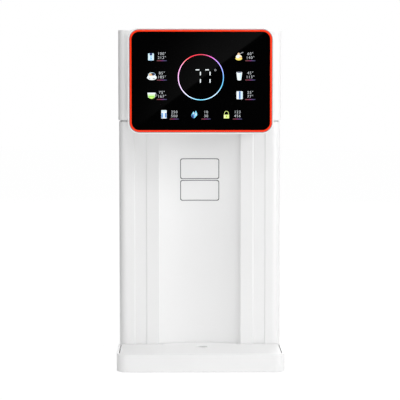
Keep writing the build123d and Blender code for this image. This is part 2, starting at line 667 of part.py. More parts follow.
def base_outline():
    """The base seen from above: a tongue under the tray, the body and the shelf under the tank."""
    body = plan_outline(SIDE_X, (FRONT_Y, BODY_REAR_Y), CORNER_RADIUS)
    inset = TRAY_SKIRT_WALL + TONGUE_GAP
    tongue_half = TRAY_X - inset
    tongue_radius = TRAY_CORNER_RADIUS - TRAY_SKIRT_WALL
    tongue_y = (TRAY_FRONT_Y + inset, FRONT_Y + CORNER_RADIUS)
    shelf_y = (BODY_REAR_Y, CRADLE_REAR_Y)
    shelf = plan_outline(SIDE_X - CRADLE_INSET, shelf_y, 0, TANK_CORNER_RADIUS)
    return body + plan_outline(tongue_half, tongue_y, tongue_radius) + shelf


def foot_places():
    """The four rubber feet."""
    x = SIDE_X - FOOT_INSET
    rows = (TRAY_FRONT_Y + FOOT_INSET, CRADLE_REAR_Y - FOOT_INSET)
    return [(side * x, y) for side in (-1, 1) for y in rows]


def base_screw_places():
    """The four screws that hold the base to the shells' blocks."""
    return [(side * BASE_SCREW_X, y) for side in (-1, 1) for y in base_screw_rows()]


def base_pocket_places():
    """The pockets that leave ribs under the base, in front of the air slots and behind them."""
    columns = [number - (BASE_POCKET_COLUMNS - 1) / 2 for number in range(BASE_POCKET_COLUMNS)]
    start = (BASE_SLOT_LENGTH + BASE_POCKET_PITCH) / 2 + BASE_RIB
    rows = [side * (start + row * BASE_POCKET_PITCH) for side in (-1, 1) for row in range(BASE_POCKET_ROWS)]
    return [(column * BASE_POCKET_PITCH, y) for column in columns for y in rows]


def base_plate():
    """The bottom of the dispenser, ribbed below, with a lip that the shells stand around."""
    base = prism(base_outline(), (FOOT_DROP, BASE_TOP))
    lip_inset = SHELL_WALL + FIT_GAP
    lip_y = (INNER_REAR_Y - FIT_GAP - BASE_LIP_LENGTH, INNER_REAR_Y - FIT_GAP)
    lip = plan_outline(SIDE_X - lip_inset, lip_y, 0, REAR_CORNER_RADIUS - lip_inset)
    inside_y = (lip_y[0] - CUT_OVERRUN, lip_y[1] - BASE_LIP_WALL)
    inside = plan_outline(SIDE_X - lip_inset - BASE_LIP_WALL, inside_y)
    base += prism(lip - inside, (BASE_TOP, BASE_TOP + BASE_LIP_HEIGHT))
    through = (0, BASE_TOP + CUT_OVERRUN)
    slot_half = (BASE_SLOT_LENGTH - BASE_SLOT_WIDTH) / 2
    for number in range(BASE_SLOTS):
        x = (number - (BASE_SLOTS - 1) / 2) * BASE_SLOT_PITCH
        base -= block((x - BASE_SLOT_WIDTH / 2, x + BASE_SLOT_WIDTH / 2), (-slot_half, slot_half), through)
        for y in (-slot_half, slot_half):
            base -= rod("Z", (x, y), through, BASE_SLOT_WIDTH / 2)
    pocket_half = (BASE_POCKET_PITCH - BASE_RIB) / 2
    for x, y in base_pocket_places():
        across = (x - pocket_half, x + pocket_half)
        base -= block(across, (y - pocket_half, y + pocket_half), (0, BASE_TOP - BASE_SKIN))
    for place in foot_places():
        base -= rod("Z", place, (0, FOOT_DROP + FOOT_SOCKET), FOOT_RADIUS)
    for place in base_screw_places():
        base -= rod("Z", place, (0, FOOT_DROP + SCREW_HEAD), SCREW_HEAD_RADIUS + FIT_GAP)
        base -= rod("Z", place, through, SCREW_RADIUS + FIT_GAP)
    return base


def base_screws():
    """The four screws from below, into the blocks of the shells."""
    screws = []
    for place in base_screw_places():
        neck = FOOT_DROP + SCREW_HEAD
        screw = rod("Z", place, (FOOT_DROP, neck), SCREW_HEAD_RADIUS)
        screws.append(screw + rod("Z", place, (neck, BASE_TOP + SCREW_GRIP), SCREW_RADIUS))
    return Compound(children=screws)


def rubber_feet():
    """Four round rubber feet, let into the base."""
    height = (0, FOOT_DROP + FOOT_SOCKET)
    return Compound(children=[rod("Z", place, height, FOOT_RADIUS) for place in foot_places()])


def drip_tray():
    """The drip tray: a basin whose rear fits the niche, with a skirt that hides the base's tongue."""
    outer_y = (TRAY_FRONT_Y, FRONT_Y - TRAY_GAP)
    outer = plan_outline(TRAY_X, outer_y, TRAY_CORNER_RADIUS) + niche_outline(-TRAY_GAP)
    tray = prism(outer, (TRAY_BOTTOM, TRAY_TOP))
    rear = FRONT_Y - TRAY_GAP - POINT_TOLERANCE
    for level, radius in ((0, TRAY_EDGE_RADIUS), (-1, TRAY_RIM_RADIUS)):
        edges = [edge for edge in tray.edges().group_by(Axis.Z)[level] if edge.center().Y < rear]
        tray = fillet(edges, radius)
    inner_radius = TRAY_CORNER_RADIUS - TRAY_WALL
    basin_y = (TRAY_FRONT_Y + TRAY_WALL, FRONT_Y - TRAY_GAP - TRAY_WALL)
    basin = plan_outline(TRAY_X - TRAY_WALL, basin_y, inner_radius)
    basin += niche_outline(-TRAY_GAP - TRAY_WALL)
    tray -= prism(basin, (TRAY_FLOOR_Z, TRAY_TOP + CUT_OVERRUN))
    skirt_y = (TRAY_FRONT_Y + TRAY_SKIRT_WALL, FRONT_Y + NICHE_DEPTH)
    skirt = plan_outline(TRAY_X - TRAY_SKIRT_WALL, skirt_y, TRAY_CORNER_RADIUS - TRAY_SKIRT_WALL)
    tray -= prism(skirt, (TRAY_BOTTOM - CUT_OVERRUN, TRAY_HOLLOW_Z))
    ledge_starts = (basin_y[0] + TRAY_CORNER_RADIUS, basin_y[1] - TRAY_CORNER_RADIUS - TRAY_LEDGE_LENGTH)
    ledge_x = (TRAY_X - TRAY_WALL - TRAY_LEDGE_REACH, TRAY_X - TRAY_WALL / 2)
    for y in ledge_starts:
        for x in (ledge_x, (-ledge_x[1], -ledge_x[0])):
            tray += block(x, (y, y + TRAY_LEDGE_LENGTH), (TRAY_FLOOR_Z, PLATE_Z))
    return tray


def drip_plate():
    """The plate that lies in the tray, with a gap all round and one round hole."""
    inset = TRAY_WALL + PLATE_GAP
    plate_y = (TRAY_FRONT_Y + inset, FRONT_Y - TRAY_GAP - inset)
    outline = plan_outline(TRAY_X - inset, plate_y, TRAY_CORNER_RADIUS - inset)
    outline += niche_outline(-TRAY_GAP - inset)
    plate = prism(outline, (PLATE_Z, TRAY_TOP))
    plate = fillet(plate.faces().sort_by(Axis.Z)[-1].edges(), PLATE_EDGE_RADIUS)
    hole_z = (PLATE_Z - CUT_OVERRUN, TRAY_TOP + CUT_OVERRUN)
    plate -= rod("Z", (PLATE_HOLE_X, FRONT_Y - PLATE_HOLE_REACH), hole_z, PLATE_HOLE_RADIUS)
    rounds = plate.edges().filter_by(GeomType.CIRCLE)
    rims = [edge for edge in rounds if abs(edge.radius - PLATE_HOLE_RADIUS) < POINT_TOLERANCE]
    return chamfer(max(rims, key=lambda edge: edge.center().Z), PLATE_HOLE_BEVEL)


def nozzle():
    """The outlet nozzle, set flush in the head's floor, with a socket for the separator's spout."""
    place = (0, NOZZLE_Y)
    flange_z = (HEAD_FLOOR_Z, HEAD_FLOOR_Z + NOZZLE_FLANGE_THICKNESS)
    tip = rod("Z", place, (HEAD_FLOOR_Z - RIM_WALL + NOZZLE_RECESS, HEAD_FLOOR_Z), NOZZLE_RADIUS)
    body = rod("Z", place, flange_z, NOZZLE_FLANGE_RADIUS)
    top = SEPARATOR_Z - SEAL_THICKNESS
    body += rod("Z", place, (flange_z[1], top), NOZZLE_RADIUS)
    body += tip
    body -= rod("Z", place, (HEAD_FLOOR_Z - RIM_WALL - CUT_OVERRUN, top), NOZZLE_BORE_RADIUS)
    return body - rod("Z", place, (top - NOZZLE_SOCKET_DEPTH, top + CUT_OVERRUN), OUTLET_RADIUS + FIT_GAP)


def nozzle_seal():
    """The flat rubber ring squeezed between the nozzle and the separator."""
    z = (SEPARATOR_Z - SEAL_THICKNESS, SEPARATOR_Z)
    return tube("Z", (0, NOZZLE_Y), z, NOZZLE_RADIUS, OUTLET_RADIUS + FIT_GAP)


def separator_leg_places():
    """The four legs of the steam separator."""
    x = SEPARATOR_WIDTH / 2 - SEPARATOR_LEG_RADIUS
    y = SEPARATOR_DEPTH / 2 - SEPARATOR_LEG_RADIUS
    return [(sx * x, NOZZLE_Y + sy * y) for sx in (-1, 1) for sy in (-1, 1)]


def steam_separator():
    """The small box in the head where steam leaves the hot water before it runs to the nozzle."""
    half = SEPARATOR_WIDTH / 2
    y = (NOZZLE_Y - SEPARATOR_DEPTH / 2, NOZZLE_Y + SEPARATOR_DEPTH / 2)
    box = block((-half, half), y, (SEPARATOR_Z, SEPARATOR_TOP_Z))
    inner_y = (y[0] + SEPARATOR_WALL, y[1] - SEPARATOR_WALL)
    inner_z = (SEPARATOR_Z + SEPARATOR_WALL, SEPARATOR_TOP_Z + CUT_OVERRUN)
    box -= block((SEPARATOR_WALL - half, half - SEPARATOR_WALL), inner_y, inner_z)
    for place in separator_leg_places():
        box += rod("Z", place, (HEAD_FLOOR_Z, SEPARATOR_Z), SEPARATOR_LEG_RADIUS)
    spout_z = (SEPARATOR_Z - NOZZLE_SOCKET_DEPTH, SEPARATOR_Z)
    box += rod("Z", (0, NOZZLE_Y), spout_z, OUTLET_RADIUS)
    spout_bore = (spout_z[0] - CUT_OVERRUN, SEPARATOR_Z + SEPARATOR_WALL + CUT_OVERRUN)
    box -= rod("Z", (0, NOZZLE_Y), spout_bore, NOZZLE_BORE_RADIUS)
    inlet = (NOZZLE_Y, SEPARATOR_INLET_Z)
    box += rod("X", inlet, (-half - BARB_LENGTH, -half), BARB_RADIUS)
    inlet_bore = (-half - BARB_LENGTH - CUT_OVERRUN, SEPARATOR_WALL + CUT_OVERRUN - half)
    return box - rod("X", inlet, inlet_bore, BARB_BORE_RADIUS)


def separator_lid():
    """The separator's lid, with a plug that reaches into the box."""
    half = SEPARATOR_WIDTH / 2
    y = (NOZZLE_Y - SEPARATOR_DEPTH / 2, NOZZLE_Y + SEPARATOR_DEPTH / 2)
    inset = SEPARATOR_WALL + FIT_GAP
    lid = block((-half, half), y, (SEPARATOR_TOP_Z, SEPARATOR_TOP_Z + SEPARATOR_LID_THICKNESS))
    plug_z = (SEPARATOR_TOP_Z - SEPARATOR_LID_THICKNESS, SEPARATOR_TOP_Z)
    return lid + block((inset - half, half - inset), (y[0] + inset, y[1] - inset), plug_z)


def hose(points):
    """A hose along straight runs with round bends between them."""
    if len(points) > 2:
        path = FilletPolyline(*points, radius=HOSE_BEND_RADIUS)
    else:
        path = Line(*points)
    start = Plane(origin=path @ 0, z_dir=path % 0)
    outer = sweep(start * Circle(HOSE_RADIUS), path=path)
    inner = sweep(start * Circle(BARB_RADIUS + SHAFT_GAP), path=path)
    return outer - inner


def inlet_hose():
    """Hose from the tank's dock to the pump."""
    dock_y = TANK_MIDDLE_Y - DOCK_RADIUS
    return hose([(PUMP_X, PUMP_BACK_Y, PUMP_Z), (PUMP_X, dock_y, PUMP_Z)])


def meter_hose():
    """Hose from the pump up to the flow meter."""
    return hose([(PUMP_X, COLUMN_Y, PUMP_PORT_Z), (PUMP_X, COLUMN_Y, METER_Z)])


def heater_hose():
    """Hose from the flow meter up to the heater."""
    return hose([(PUMP_X, COLUMN_Y, METER_TOP_Z), (PUMP_X, COLUMN_Y, HEATER_Z)])


def outlet_hose():
    """Hose from the heater, forward into the head, to the steam separator."""
    level = SEPARATOR_INLET_Z
    return hose([
        (PUMP_X, COLUMN_Y, HEATER_TOP_Z),
        (PUMP_X, COLUMN_Y, level),
        (PUMP_X, NOZZLE_Y, level),
        (-SEPARATOR_WIDTH / 2, NOZZLE_Y, level),
    ])


def hose_clips():
    """Spring bands round every hose end."""
    reach = (BARB_LENGTH - CLIP_LENGTH) / 2
    radius = HOSE_RADIUS + CLIP_WALL
    bore = HOSE_RADIUS + SHAFT_GAP
    upright = (PUMP_X, COLUMN_Y)
    starts = (PUMP_PORT_Z + reach, METER_Z - reach - CLIP_LENGTH, METER_TOP_Z + reach)
    starts += (HEATER_Z - reach - CLIP_LENGTH, HEATER_TOP_Z + reach)
    clips = [tube("Z", upright, (start, start + CLIP_LENGTH), radius, bore) for start in starts]
    level = (PUMP_X, PUMP_Z)
    dock_end = TANK_MIDDLE_Y - DOCK_RADIUS - reach
    for start in (PUMP_BACK_Y + reach, dock_end - CLIP_LENGTH):
        clips.append(tube("Y", level, (start, start + CLIP_LENGTH), radius, bore))
    last = -SEPARATOR_WIDTH / 2 - reach
    clips.append(tube("X", (NOZZLE_Y, SEPARATOR_INLET_Z), (last - CLIP_LENGTH, last), radius, bore))
    return Compound(children=clips)


def pump_mount():
    """The rubber saddle under the pump."""
    half = PUMP_MOUNT_WIDTH / 2
    y = (PUMP_JOINT_Y - PUMP_MOTOR_LENGTH, PUMP_BACK_Y)
    saddle = block((PUMP_X - half, PUMP_X + half), y, (BASE_TOP, PUMP_Z - PUMP_MOTOR_RADIUS / 2))
    motor_y = (y[0] - CUT_OVERRUN, PUMP_JOINT_Y)
    saddle -= rod("Y", (PUMP_X, PUMP_Z), motor_y, PUMP_MOTOR_RADIUS + SHAFT_GAP)
    head_y = (PUMP_JOINT_Y, y[1] + CUT_OVERRUN)
    return saddle - rod("Y", (PUMP_X, PUMP_Z), head_y, PUMP_HEAD_RADIUS + SHAFT_GAP)


def pump_motor():
    """The pump's motor can, with a blind bearing hole for the shaft."""
    place = (PUMP_X, PUMP_Z)
    can = rod("Y", place, (PUMP_JOINT_Y - PUMP_MOTOR_LENGTH, PUMP_JOINT_Y), PUMP_MOTOR_RADIUS)
    shaft_y = (PUMP_JOINT_Y - PUMP_SHAFT_LENGTH - RUN_GAP, PUMP_JOINT_Y + CUT_OVERRUN)
    return can - rod("Y", place, shaft_y, PUMP_SHAFT_RADIUS + SHAFT_GAP)


def pump_chamber_y():
    """The front and back of the pump's chamber."""
    middle = (PUMP_JOINT_Y + PUMP_BACK_Y) / 2
    return (middle - PUMP_CHAMBER_LENGTH / 2, middle + PUMP_CHAMBER_LENGTH / 2)


def pump_head():
    """The pump's head: a round chamber, an inlet barb at the back and an outlet barb on top."""
    place = (PUMP_X, PUMP_Z)
    upright = (PUMP_X, COLUMN_Y)
    chamber_y = pump_chamber_y()
    head = rod("Y", place, (PUMP_JOINT_Y, PUMP_BACK_Y), PUMP_HEAD_RADIUS)
    head += rod("Y", place, (PUMP_BACK_Y, PUMP_BACK_Y + BARB_LENGTH), BARB_RADIUS)
    head += rod("Z", upright, (PUMP_Z, PUMP_PORT_Z + BARB_LENGTH), BARB_RADIUS)
    head -= rod("Y", place, chamber_y, PUMP_CHAMBER_RADIUS)
    head -= rod("Y", place, (PUMP_JOINT_Y - CUT_OVERRUN, chamber_y[0]), PUMP_SHAFT_RADIUS + SHAFT_GAP)
    head -= rod("Y", place, (chamber_y[1], PUMP_BACK_Y + BARB_LENGTH + CUT_OVERRUN), BARB_BORE_RADIUS)
    outlet_z = (PUMP_Z + IMPELLER_HUB_RADIUS, PUMP_PORT_Z + BARB_LENGTH + CUT_OVERRUN)
    return head - rod("Z", upright, outlet_z, BARB_BORE_RADIUS)


def pump_impeller():
    """The impeller on its shaft."""
    place = (PUMP_X, PUMP_Z)
    chamber_y = pump_chamber_y()
    wheel_y = (chamber_y[0] + IMPELLER_GAP, chamber_y[1] - IMPELLER_GAP)
    wheel = rod("Y", place, wheel_y, IMPELLER_HUB_RADIUS)
    reach = PUMP_CHAMBER_RADIUS - IMPELLER_GAP
    half = IMPELLER_BLADE_WIDTH / 2
    for number in range(IMPELLER_BLADES):
        blade = block((0, reach), wheel_y, (-half, half))
        wheel += Pos(PUMP_X, 0, PUMP_Z) * Rot(0, number * 360 / IMPELLER_BLADES, 0) * blade
    return wheel + rod("Y", place, (PUMP_JOINT_Y - PUMP_SHAFT_LENGTH, wheel_y[0]), PUMP_SHAFT_RADIUS)


def turbine_z():
    """The lower and upper end of the turbine wheel inside the flow meter."""
    middle = (METER_Z + METER_TOP_Z) / 2
    return (middle - TURBINE_LENGTH / 2, middle + TURBINE_LENGTH / 2)


def flow_meter_body():
    """The flow meter's tube, with ported ends that carry the turbine's pins and a barb at each end."""
    place = (PUMP_X, COLUMN_Y)
    inside_z = (METER_Z + METER_CAP, METER_TOP_Z - METER_CAP)
    body = rod("Z", place, (METER_Z, METER_TOP_Z), METER_RADIUS)
    body += rod("Z", place, (METER_Z - BARB_LENGTH, METER_TOP_Z + BARB_LENGTH), BARB_RADIUS)
    body -= rod("Z", place, inside_z, METER_BORE_RADIUS)
    wheel_z = turbine_z()
    bearings = ((inside_z[0], wheel_z[0] - RUN_GAP), (wheel_z[1] + RUN_GAP, inside_z[1]))
    bar_x = (PUMP_X - METER_BORE_RADIUS, PUMP_X + METER_BORE_RADIUS)
    bar_y = (COLUMN_Y - TURBINE_HUB_RADIUS, COLUMN_Y + TURBINE_HUB_RADIUS)
    for limits in bearings:
        body += block(bar_x, bar_y, limits)
    pin_z = (wheel_z[0] - TURBINE_PIN_DEPTH - RUN_GAP, wheel_z[1] + TURBINE_PIN_DEPTH + RUN_GAP)
    body -= rod("Z", place, pin_z, TURBINE_PIN_RADIUS + SHAFT_GAP)
    gallery_y = (COLUMN_Y - METER_PORT_SPREAD, COLUMN_Y + METER_PORT_SPREAD)
    gallery_x = (PUMP_X - METER_PORT_RADIUS, PUMP_X + METER_PORT_RADIUS)
    ends = (
        (METER_Z - BARB_LENGTH - CUT_OVERRUN, METER_Z, inside_z[0]),
        (METER_TOP_Z + BARB_LENGTH + CUT_OVERRUN, METER_TOP_Z, inside_z[1]),
    )
    for tip, face, inside in ends:
        deep = (face + inside) / 2
        body -= rod("Z", place, sorted((tip, deep)), BARB_BORE_RADIUS)
        body -= block(gallery_x, gallery_y, sorted(((face + deep) / 2, deep)))
        for y in gallery_y:
            body -= rod("Z", (PUMP_X, y), sorted(((face + deep) / 2, inside)), METER_PORT_RADIUS)
    return body


def flow_meter_turbine():
    """The bladed wheel that spins in the flow meter."""
    place = (PUMP_X, COLUMN_Y)
    wheel_z = turbine_z()
    wheel = rod("Z", place, wheel_z, TURBINE_HUB_RADIUS)
    reach = METER_BORE_RADIUS - IMPELLER_GAP
    half = TURBINE_BLADE_WIDTH / 2
    for number in range(TURBINE_BLADES):
        blade = block((0, reach), (-half, half), wheel_z)
        wheel += Pos(PUMP_X, COLUMN_Y, 0) * Rot(0, 0, number * 360 / TURBINE_BLADES) * blade
    pin_z = (wheel_z[0] - TURBINE_PIN_DEPTH, wheel_z[1] + TURBINE_PIN_DEPTH)
    return wheel + rod("Z", place, pin_z, TURBINE_PIN_RADIUS)


def cutout_levels():
    """The heights of the two thermal cut-outs on the heater."""
    return [HEATER_BODY_Z + share * HEATER_LENGTH for share in CUTOUT_SHARES]


def cutout_pad_y():
    """The front face of the flat pads that the thermal cut-outs sit on."""
    return COLUMN_Y - HEATER_RADIUS - CUTOUT_PAD


def heater_body():
    """The heater's steel tube, with two flat pads in front."""
    place = (PUMP_X, COLUMN_Y)
    body = rod("Z", place, (HEATER_BODY_Z, HEATER_BODY_TOP_Z), HEATER_RADIUS)
    half = CUTOUT_RADIUS
    for level in cutout_levels():
        pad_x = (PUMP_X - half, PUMP_X + half)
        body += block(pad_x, (cutout_pad_y(), COLUMN_Y), (level - half, level + half))
    bore_z = (HEATER_BODY_Z - CUT_OVERRUN, HEATER_BODY_TOP_Z + CUT_OVERRUN)
    return body - rod("Z", place, bore_z, HEATER_RADIUS - HEATER_WALL)


def heater_caps():
    """The heater's lower and upper end cap, each with a barb."""
    place = (PUMP_X, COLUMN_Y)
    lower = rod("Z", place, (HEATER_Z, HEATER_BODY_Z), HEATER_CAP_RADIUS)
    lower += rod("Z", place, (HEATER_Z - BARB_LENGTH, HEATER_Z), BARB_RADIUS)
    lower_bore = (HEATER_Z - BARB_LENGTH - CUT_OVERRUN, HEATER_BODY_Z + CUT_OVERRUN)
    lower -= rod("Z", place, lower_bore, BARB_BORE_RADIUS)
    upper = rod("Z", place, (HEATER_BODY_TOP_Z, HEATER_TOP_Z), HEATER_CAP_RADIUS)
    upper += rod("Z", place, (HEATER_TOP_Z, HEATER_TOP_Z + BARB_LENGTH), BARB_RADIUS)
    upper_bore = (HEATER_BODY_TOP_Z - CUT_OVERRUN, HEATER_TOP_Z + BARB_LENGTH + CUT_OVERRUN)
    upper -= rod("Z", place, upper_bore, BARB_BORE_RADIUS)
    return Compound(children=[lower, upper])


def heater_brackets():
    """Two spring clips, open at the front, that hold the heater to the back wall."""
    brackets = []
    clip_radius = HEATER_RADIUS + BRACKET_WALL
    mouth_x = (PUMP_X - clip_radius, PUMP_X + clip_radius)
    mouth_y = (COLUMN_Y - clip_radius, COLUMN_Y - BRACKET_WRAP)
    for share in BRACKET_SHARES:
        level = HEATER_BODY_Z + share * HEATER_LENGTH
        z = (level - BRACKET_HEIGHT / 2, level + BRACKET_HEIGHT / 2)
        web_x = (PUMP_X - BRACKET_WEB / 2, PUMP_X + BRACKET_WEB / 2)
        bracket = rod("Z", (PUMP_X, COLUMN_Y), z, clip_radius)
        bracket += block(web_x, (COLUMN_Y, INNER_REAR_Y), z)
        bore_z = (z[0] - CUT_OVERRUN, z[1] + CUT_OVERRUN)
        bracket -= rod("Z", (PUMP_X, COLUMN_Y), bore_z, HEATER_RADIUS + SHAFT_GAP)
        brackets.append(bracket - block(mouth_x, mouth_y, bore_z))
    return Compound(children=brackets)


def thermal_cutouts():
    """Two round thermal cut-outs on the heater's pads."""
    face = cutout_pad_y()
    depth = (face - CUTOUT_THICKNESS, face)
    return Compound(children=[rod("Y", (PUMP_X, z), depth, CUTOUT_RADIUS) for z in cutout_levels()])


def temperature_probe():
    """The temperature sensor on the heater's upper cap."""
    place = (PUMP_X + PROBE_OFFSET, COLUMN_Y)
    return rod("Z", place, (HEATER_TOP_Z, HEATER_TOP_Z + PROBE_LENGTH), PROBE_RADIUS)


def tank_cradle():
    """The hollow shelf behind the body that the tank stands on, with a low cheek at each side."""
    outer = plan_outline(SIDE_X - CRADLE_INSET, (BODY_REAR_Y, CRADLE_REAR_Y), 0, TANK_CORNER_RADIUS)
    cradle = prism(outer, (BASE_TOP, CRADLE_TOP))
    hollow_y = (BODY_REAR_Y - CUT_OVERRUN, CRADLE_REAR_Y - SHELL_WALL)
    hollow_radius = TANK_CORNER_RADIUS - SHELL_WALL
    hollow = plan_outline(SIDE_X - CRADLE_INSET - SHELL_WALL, hollow_y, 0, hollow_radius)
    cradle -= prism(hollow, (BASE_TOP - CUT_OVERRUN, CRADLE_TOP - SHELL_WALL))
    cheek_y = (BODY_REAR_Y, CRADLE_REAR_Y - TANK_CORNER_RADIUS)
    for side in (-1, 1):
        cheek_x = sorted((side * (TANK_HALF + RUN_GAP), side * (SIDE_X - CRADLE_INSET)))
        cradle += block(cheek_x, cheek_y, (CRADLE_TOP, CRADLE_TOP + CRADLE_RIM_HEIGHT))
    top_z = (CRADLE_TOP - SHELL_WALL - CUT_OVERRUN, CRADLE_TOP + CUT_OVERRUN)
    cradle -= rod("Z", (PUMP_X, TANK_MIDDLE_Y), top_z, DOCK_RADIUS + FIT_GAP)
    wall_y = (CRADLE_REAR_Y - SHELL_WALL - CUT_OVERRUN, CRADLE_REAR_Y + CUT_OVERRUN)
    cradle -= rod("Y", (GLAND_X, SWITCH_Z), wall_y, GLAND_RADIUS + FIT_GAP)
    half_width = SWITCH_WIDTH / 2 - SWITCH_FLANGE + FIT_GAP
    half_height = SWITCH_HEIGHT / 2 - SWITCH_FLANGE + FIT_GAP
    switch_x = (SWITCH_X - half_width, SWITCH_X + half_width)
    return cradle - block(switch_x, wall_y, (SWITCH_Z - half_height, SWITCH_Z + half_height))


def dock_spigot():
    """The spigot that enters the tank's valve, with a barb that turns forward to the pump."""
    place = (PUMP_X, TANK_MIDDLE_Y)
    level = (PUMP_X, PUMP_Z)
    under = CRADLE_TOP - SHELL_WALL
    dock = rod("Z", place, (PUMP_Z - DOCK_RADIUS, CRADLE_TOP + DOCK_RISE), DOCK_RADIUS)
    dock += rod("Z", place, (under - DOCK_FLANGE_THICKNESS, under), DOCK_FLANGE_RADIUS)
    dock += rod("Y", level, (TANK_MIDDLE_Y - DOCK_RADIUS - BARB_LENGTH, TANK_MIDDLE_Y), BARB_RADIUS)
    dock -= rod("Z", place, (PUMP_Z, CRADLE_TOP + DOCK_RISE + CUT_OVERRUN), DOCK_BORE_RADIUS)
    barb_y = (TANK_MIDDLE_Y - DOCK_RADIUS - BARB_LENGTH - CUT_OVERRUN, TANK_MIDDLE_Y)
    return dock - rod("Y", level, barb_y, BARB_BORE_RADIUS)


def tank_outline(inset):
    """The water tank seen from above, drawn in by an inset."""
    y = (TANK_FRONT_Y + inset, BACK_Y - inset)
    return plan_outline(TANK_HALF - inset, y, TANK_FRONT_RADIUS - inset, TANK_CORNER_RADIUS - inset)


def water_tank():
    """The lift-off water tank, open at the top, with a collar round its outlet."""
    tank = prism(tank_outline(0), (CRADLE_TOP, TANK_TOP))
    tank = fillet(tank.faces().sort_by(Axis.Z)[0].edges(), TANK_FOOT_RADIUS)
    floor_top = CRADLE_TOP + TANK_WALL
    tank -= prism(tank_outline(TANK_WALL), (floor_top, TANK_TOP + CUT_OVERRUN))
    place = (PUMP_X, TANK_MIDDLE_Y)
    tank += rod("Z", place, (floor_top, CRADLE_TOP + TANK_COLLAR_HEIGHT), TANK_COLLAR_RADIUS)
    outlet_z = (CRADLE_TOP - CUT_OVERRUN, CRADLE_TOP + TANK_COLLAR_HEIGHT + CUT_OVERRUN)
    return tank - rod("Z", place, outlet_z, VALVE_RADIUS)


def tank_valve():
    """The soft valve in the tank's outlet: a bush closed by a slit skin over the spigot."""
    place = (PUMP_X, TANK_MIDDLE_Y)
    top = CRADLE_TOP + TANK_COLLAR_HEIGHT
    bush = rod("Z", place, (CRADLE_TOP, top), VALVE_RADIUS - SHAFT_GAP)
    bush -= rod("Z", place, (CRADLE_TOP - CUT_OVERRUN, top - VALVE_SKIN), DOCK_RADIUS + RUN_GAP)
    slit = DOCK_RADIUS / 2
    slit_z = (top - VALVE_SKIN - CUT_OVERRUN, top + CUT_OVERRUN)
    for reach_x, reach_y in ((slit, VALVE_SLIT / 2), (VALVE_SLIT / 2, slit)):
        cut = block((-reach_x, reach_x), (-reach_y, reach_y), slit_z)
        bush -= Pos(PUMP_X, TANK_MIDDLE_Y, 0) * cut
    return bush


def fill_outline(margin):
    """The filling hole in the tank's cover, grown by a margin."""
    hole = RectangleRounded(FILL_WIDTH + 2 * margin, FILL_DEPTH + 2 * margin, FILL_RADIUS + margin)
    return Pos(0, TANK_MIDDLE_Y) * hole


def lid_pin_places():
    """The middles of the lid's two hinge pins along the hinge axis."""
    return [-LID_PIN_SPREAD, LID_PIN_SPREAD]


def tank_cover():
    """The tank's cover, with a filling hole and the ears of the lid's hinge."""
    cover = prism(tank_outline(0), (TANK_TOP, COVER_Z))
    cover = fillet(cover.faces().sort_by(Axis.Z)[-1].edges(), COVER_EDGE_RADIUS)
    skirt = tank_outline(TANK_WALL + FIT_GAP) - tank_outline(TANK_WALL + FIT_GAP + TANK_WALL)
    cover += prism(skirt, (TANK_TOP - COVER_SKIRT, TANK_TOP))
    cover -= prism(fill_outline(0), (TANK_TOP - CUT_OVERRUN, COVER_Z + CUT_OVERRUN))
    ear_y = (LID_AXIS_Y - LID_BARREL_RADIUS, LID_AXIS_Y + LID_BARREL_RADIUS)
    for middle in lid_pin_places():
        for side in (-1, 1):
            inner = middle + side * (LID_BARREL_LENGTH / 2 + RUN_GAP)
            x = sorted((inner, inner + side * LID_EAR_WIDTH))
            ear = block(x, ear_y, (COVER_Z, LID_AXIS_Z))
            ear += rod("X", (LID_AXIS_Y, LID_AXIS_Z), x, LID_BARREL_RADIUS)
            cover += ear - rod("X", (LID_AXIS_Y, LID_AXIS_Z), x, LID_PIN_RADIUS)
    return cover


def fill_lid():
    """The filling lid, with two hinge barrels behind and a finger tab in front."""
    z = (COVER_Z + RUN_GAP, COVER_Z + RUN_GAP + LID_THICKNESS)
    lid = prism(fill_outline(LID_OVERLAP - RUN_GAP), z)
    tab_front = TANK_MIDDLE_Y - FILL_DEPTH / 2 - LID_OVERLAP - LID_TAB_REACH
    tab_y = (tab_front, TANK_MIDDLE_Y)
    lid += block((-LID_TAB_WIDTH / 2, LID_TAB_WIDTH / 2), tab_y, z)
    lid = fillet(lid.faces().sort_by(Axis.Z)[-1].edges(), LID_EDGE_RADIUS)
    plug = fill_outline(-LID_PLUG_GAP) - fill_outline(-LID_PLUG_GAP - TANK_WALL)
    lid += prism(plug, (TANK_TOP, z[0]))
    half = LID_BARREL_LENGTH / 2
    for middle in lid_pin_places():
        x = (middle - half, middle + half)
        lid += block(x, (FILL_REAR_Y, LID_AXIS_Y), z)
        lid += rod("X", (LID_AXIS_Y, LID_AXIS_Z), x, LID_BARREL_RADIUS - RUN_GAP)
        bore_x = (x[0] - CUT_OVERRUN, x[1] + CUT_OVERRUN)
        lid -= rod("X", (LID_AXIS_Y, LID_AXIS_Z), bore_x, LID_PIN_RADIUS + SHAFT_GAP)
    return lid


def lid_pins():
    """The two steel pins of the filling lid's hinge, held in the cover's ears."""
    half = LID_BARREL_LENGTH / 2 + RUN_GAP + LID_EAR_WIDTH
    pins = []
    for x in lid_pin_places():
        pins.append(rod("X", (LID_AXIS_Y, LID_AXIS_Z), (x - half, x + half), LID_PIN_RADIUS))
    return Compound(children=pins)


def main_board():
    """The power board on the back wall."""
    half = MAIN_BOARD_WIDTH / 2
    up = MAIN_BOARD_HEIGHT / 2
    x = (MAIN_BOARD_X - half, MAIN_BOARD_X + half)
    board = block(x, (MAIN_BOARD_FACE_Y, MAIN_BOARD_Y), (MAIN_BOARD_Z - up, MAIN_BOARD_Z + up))
    for place in board_boss_places():
        hole_y = (MAIN_BOARD_FACE_Y - CUT_OVERRUN, MAIN_BOARD_Y + CUT_OVERRUN)
        board -= rod("Y", place, hole_y, BOARD_SCREW_RADIUS + FIT_GAP)
    return board


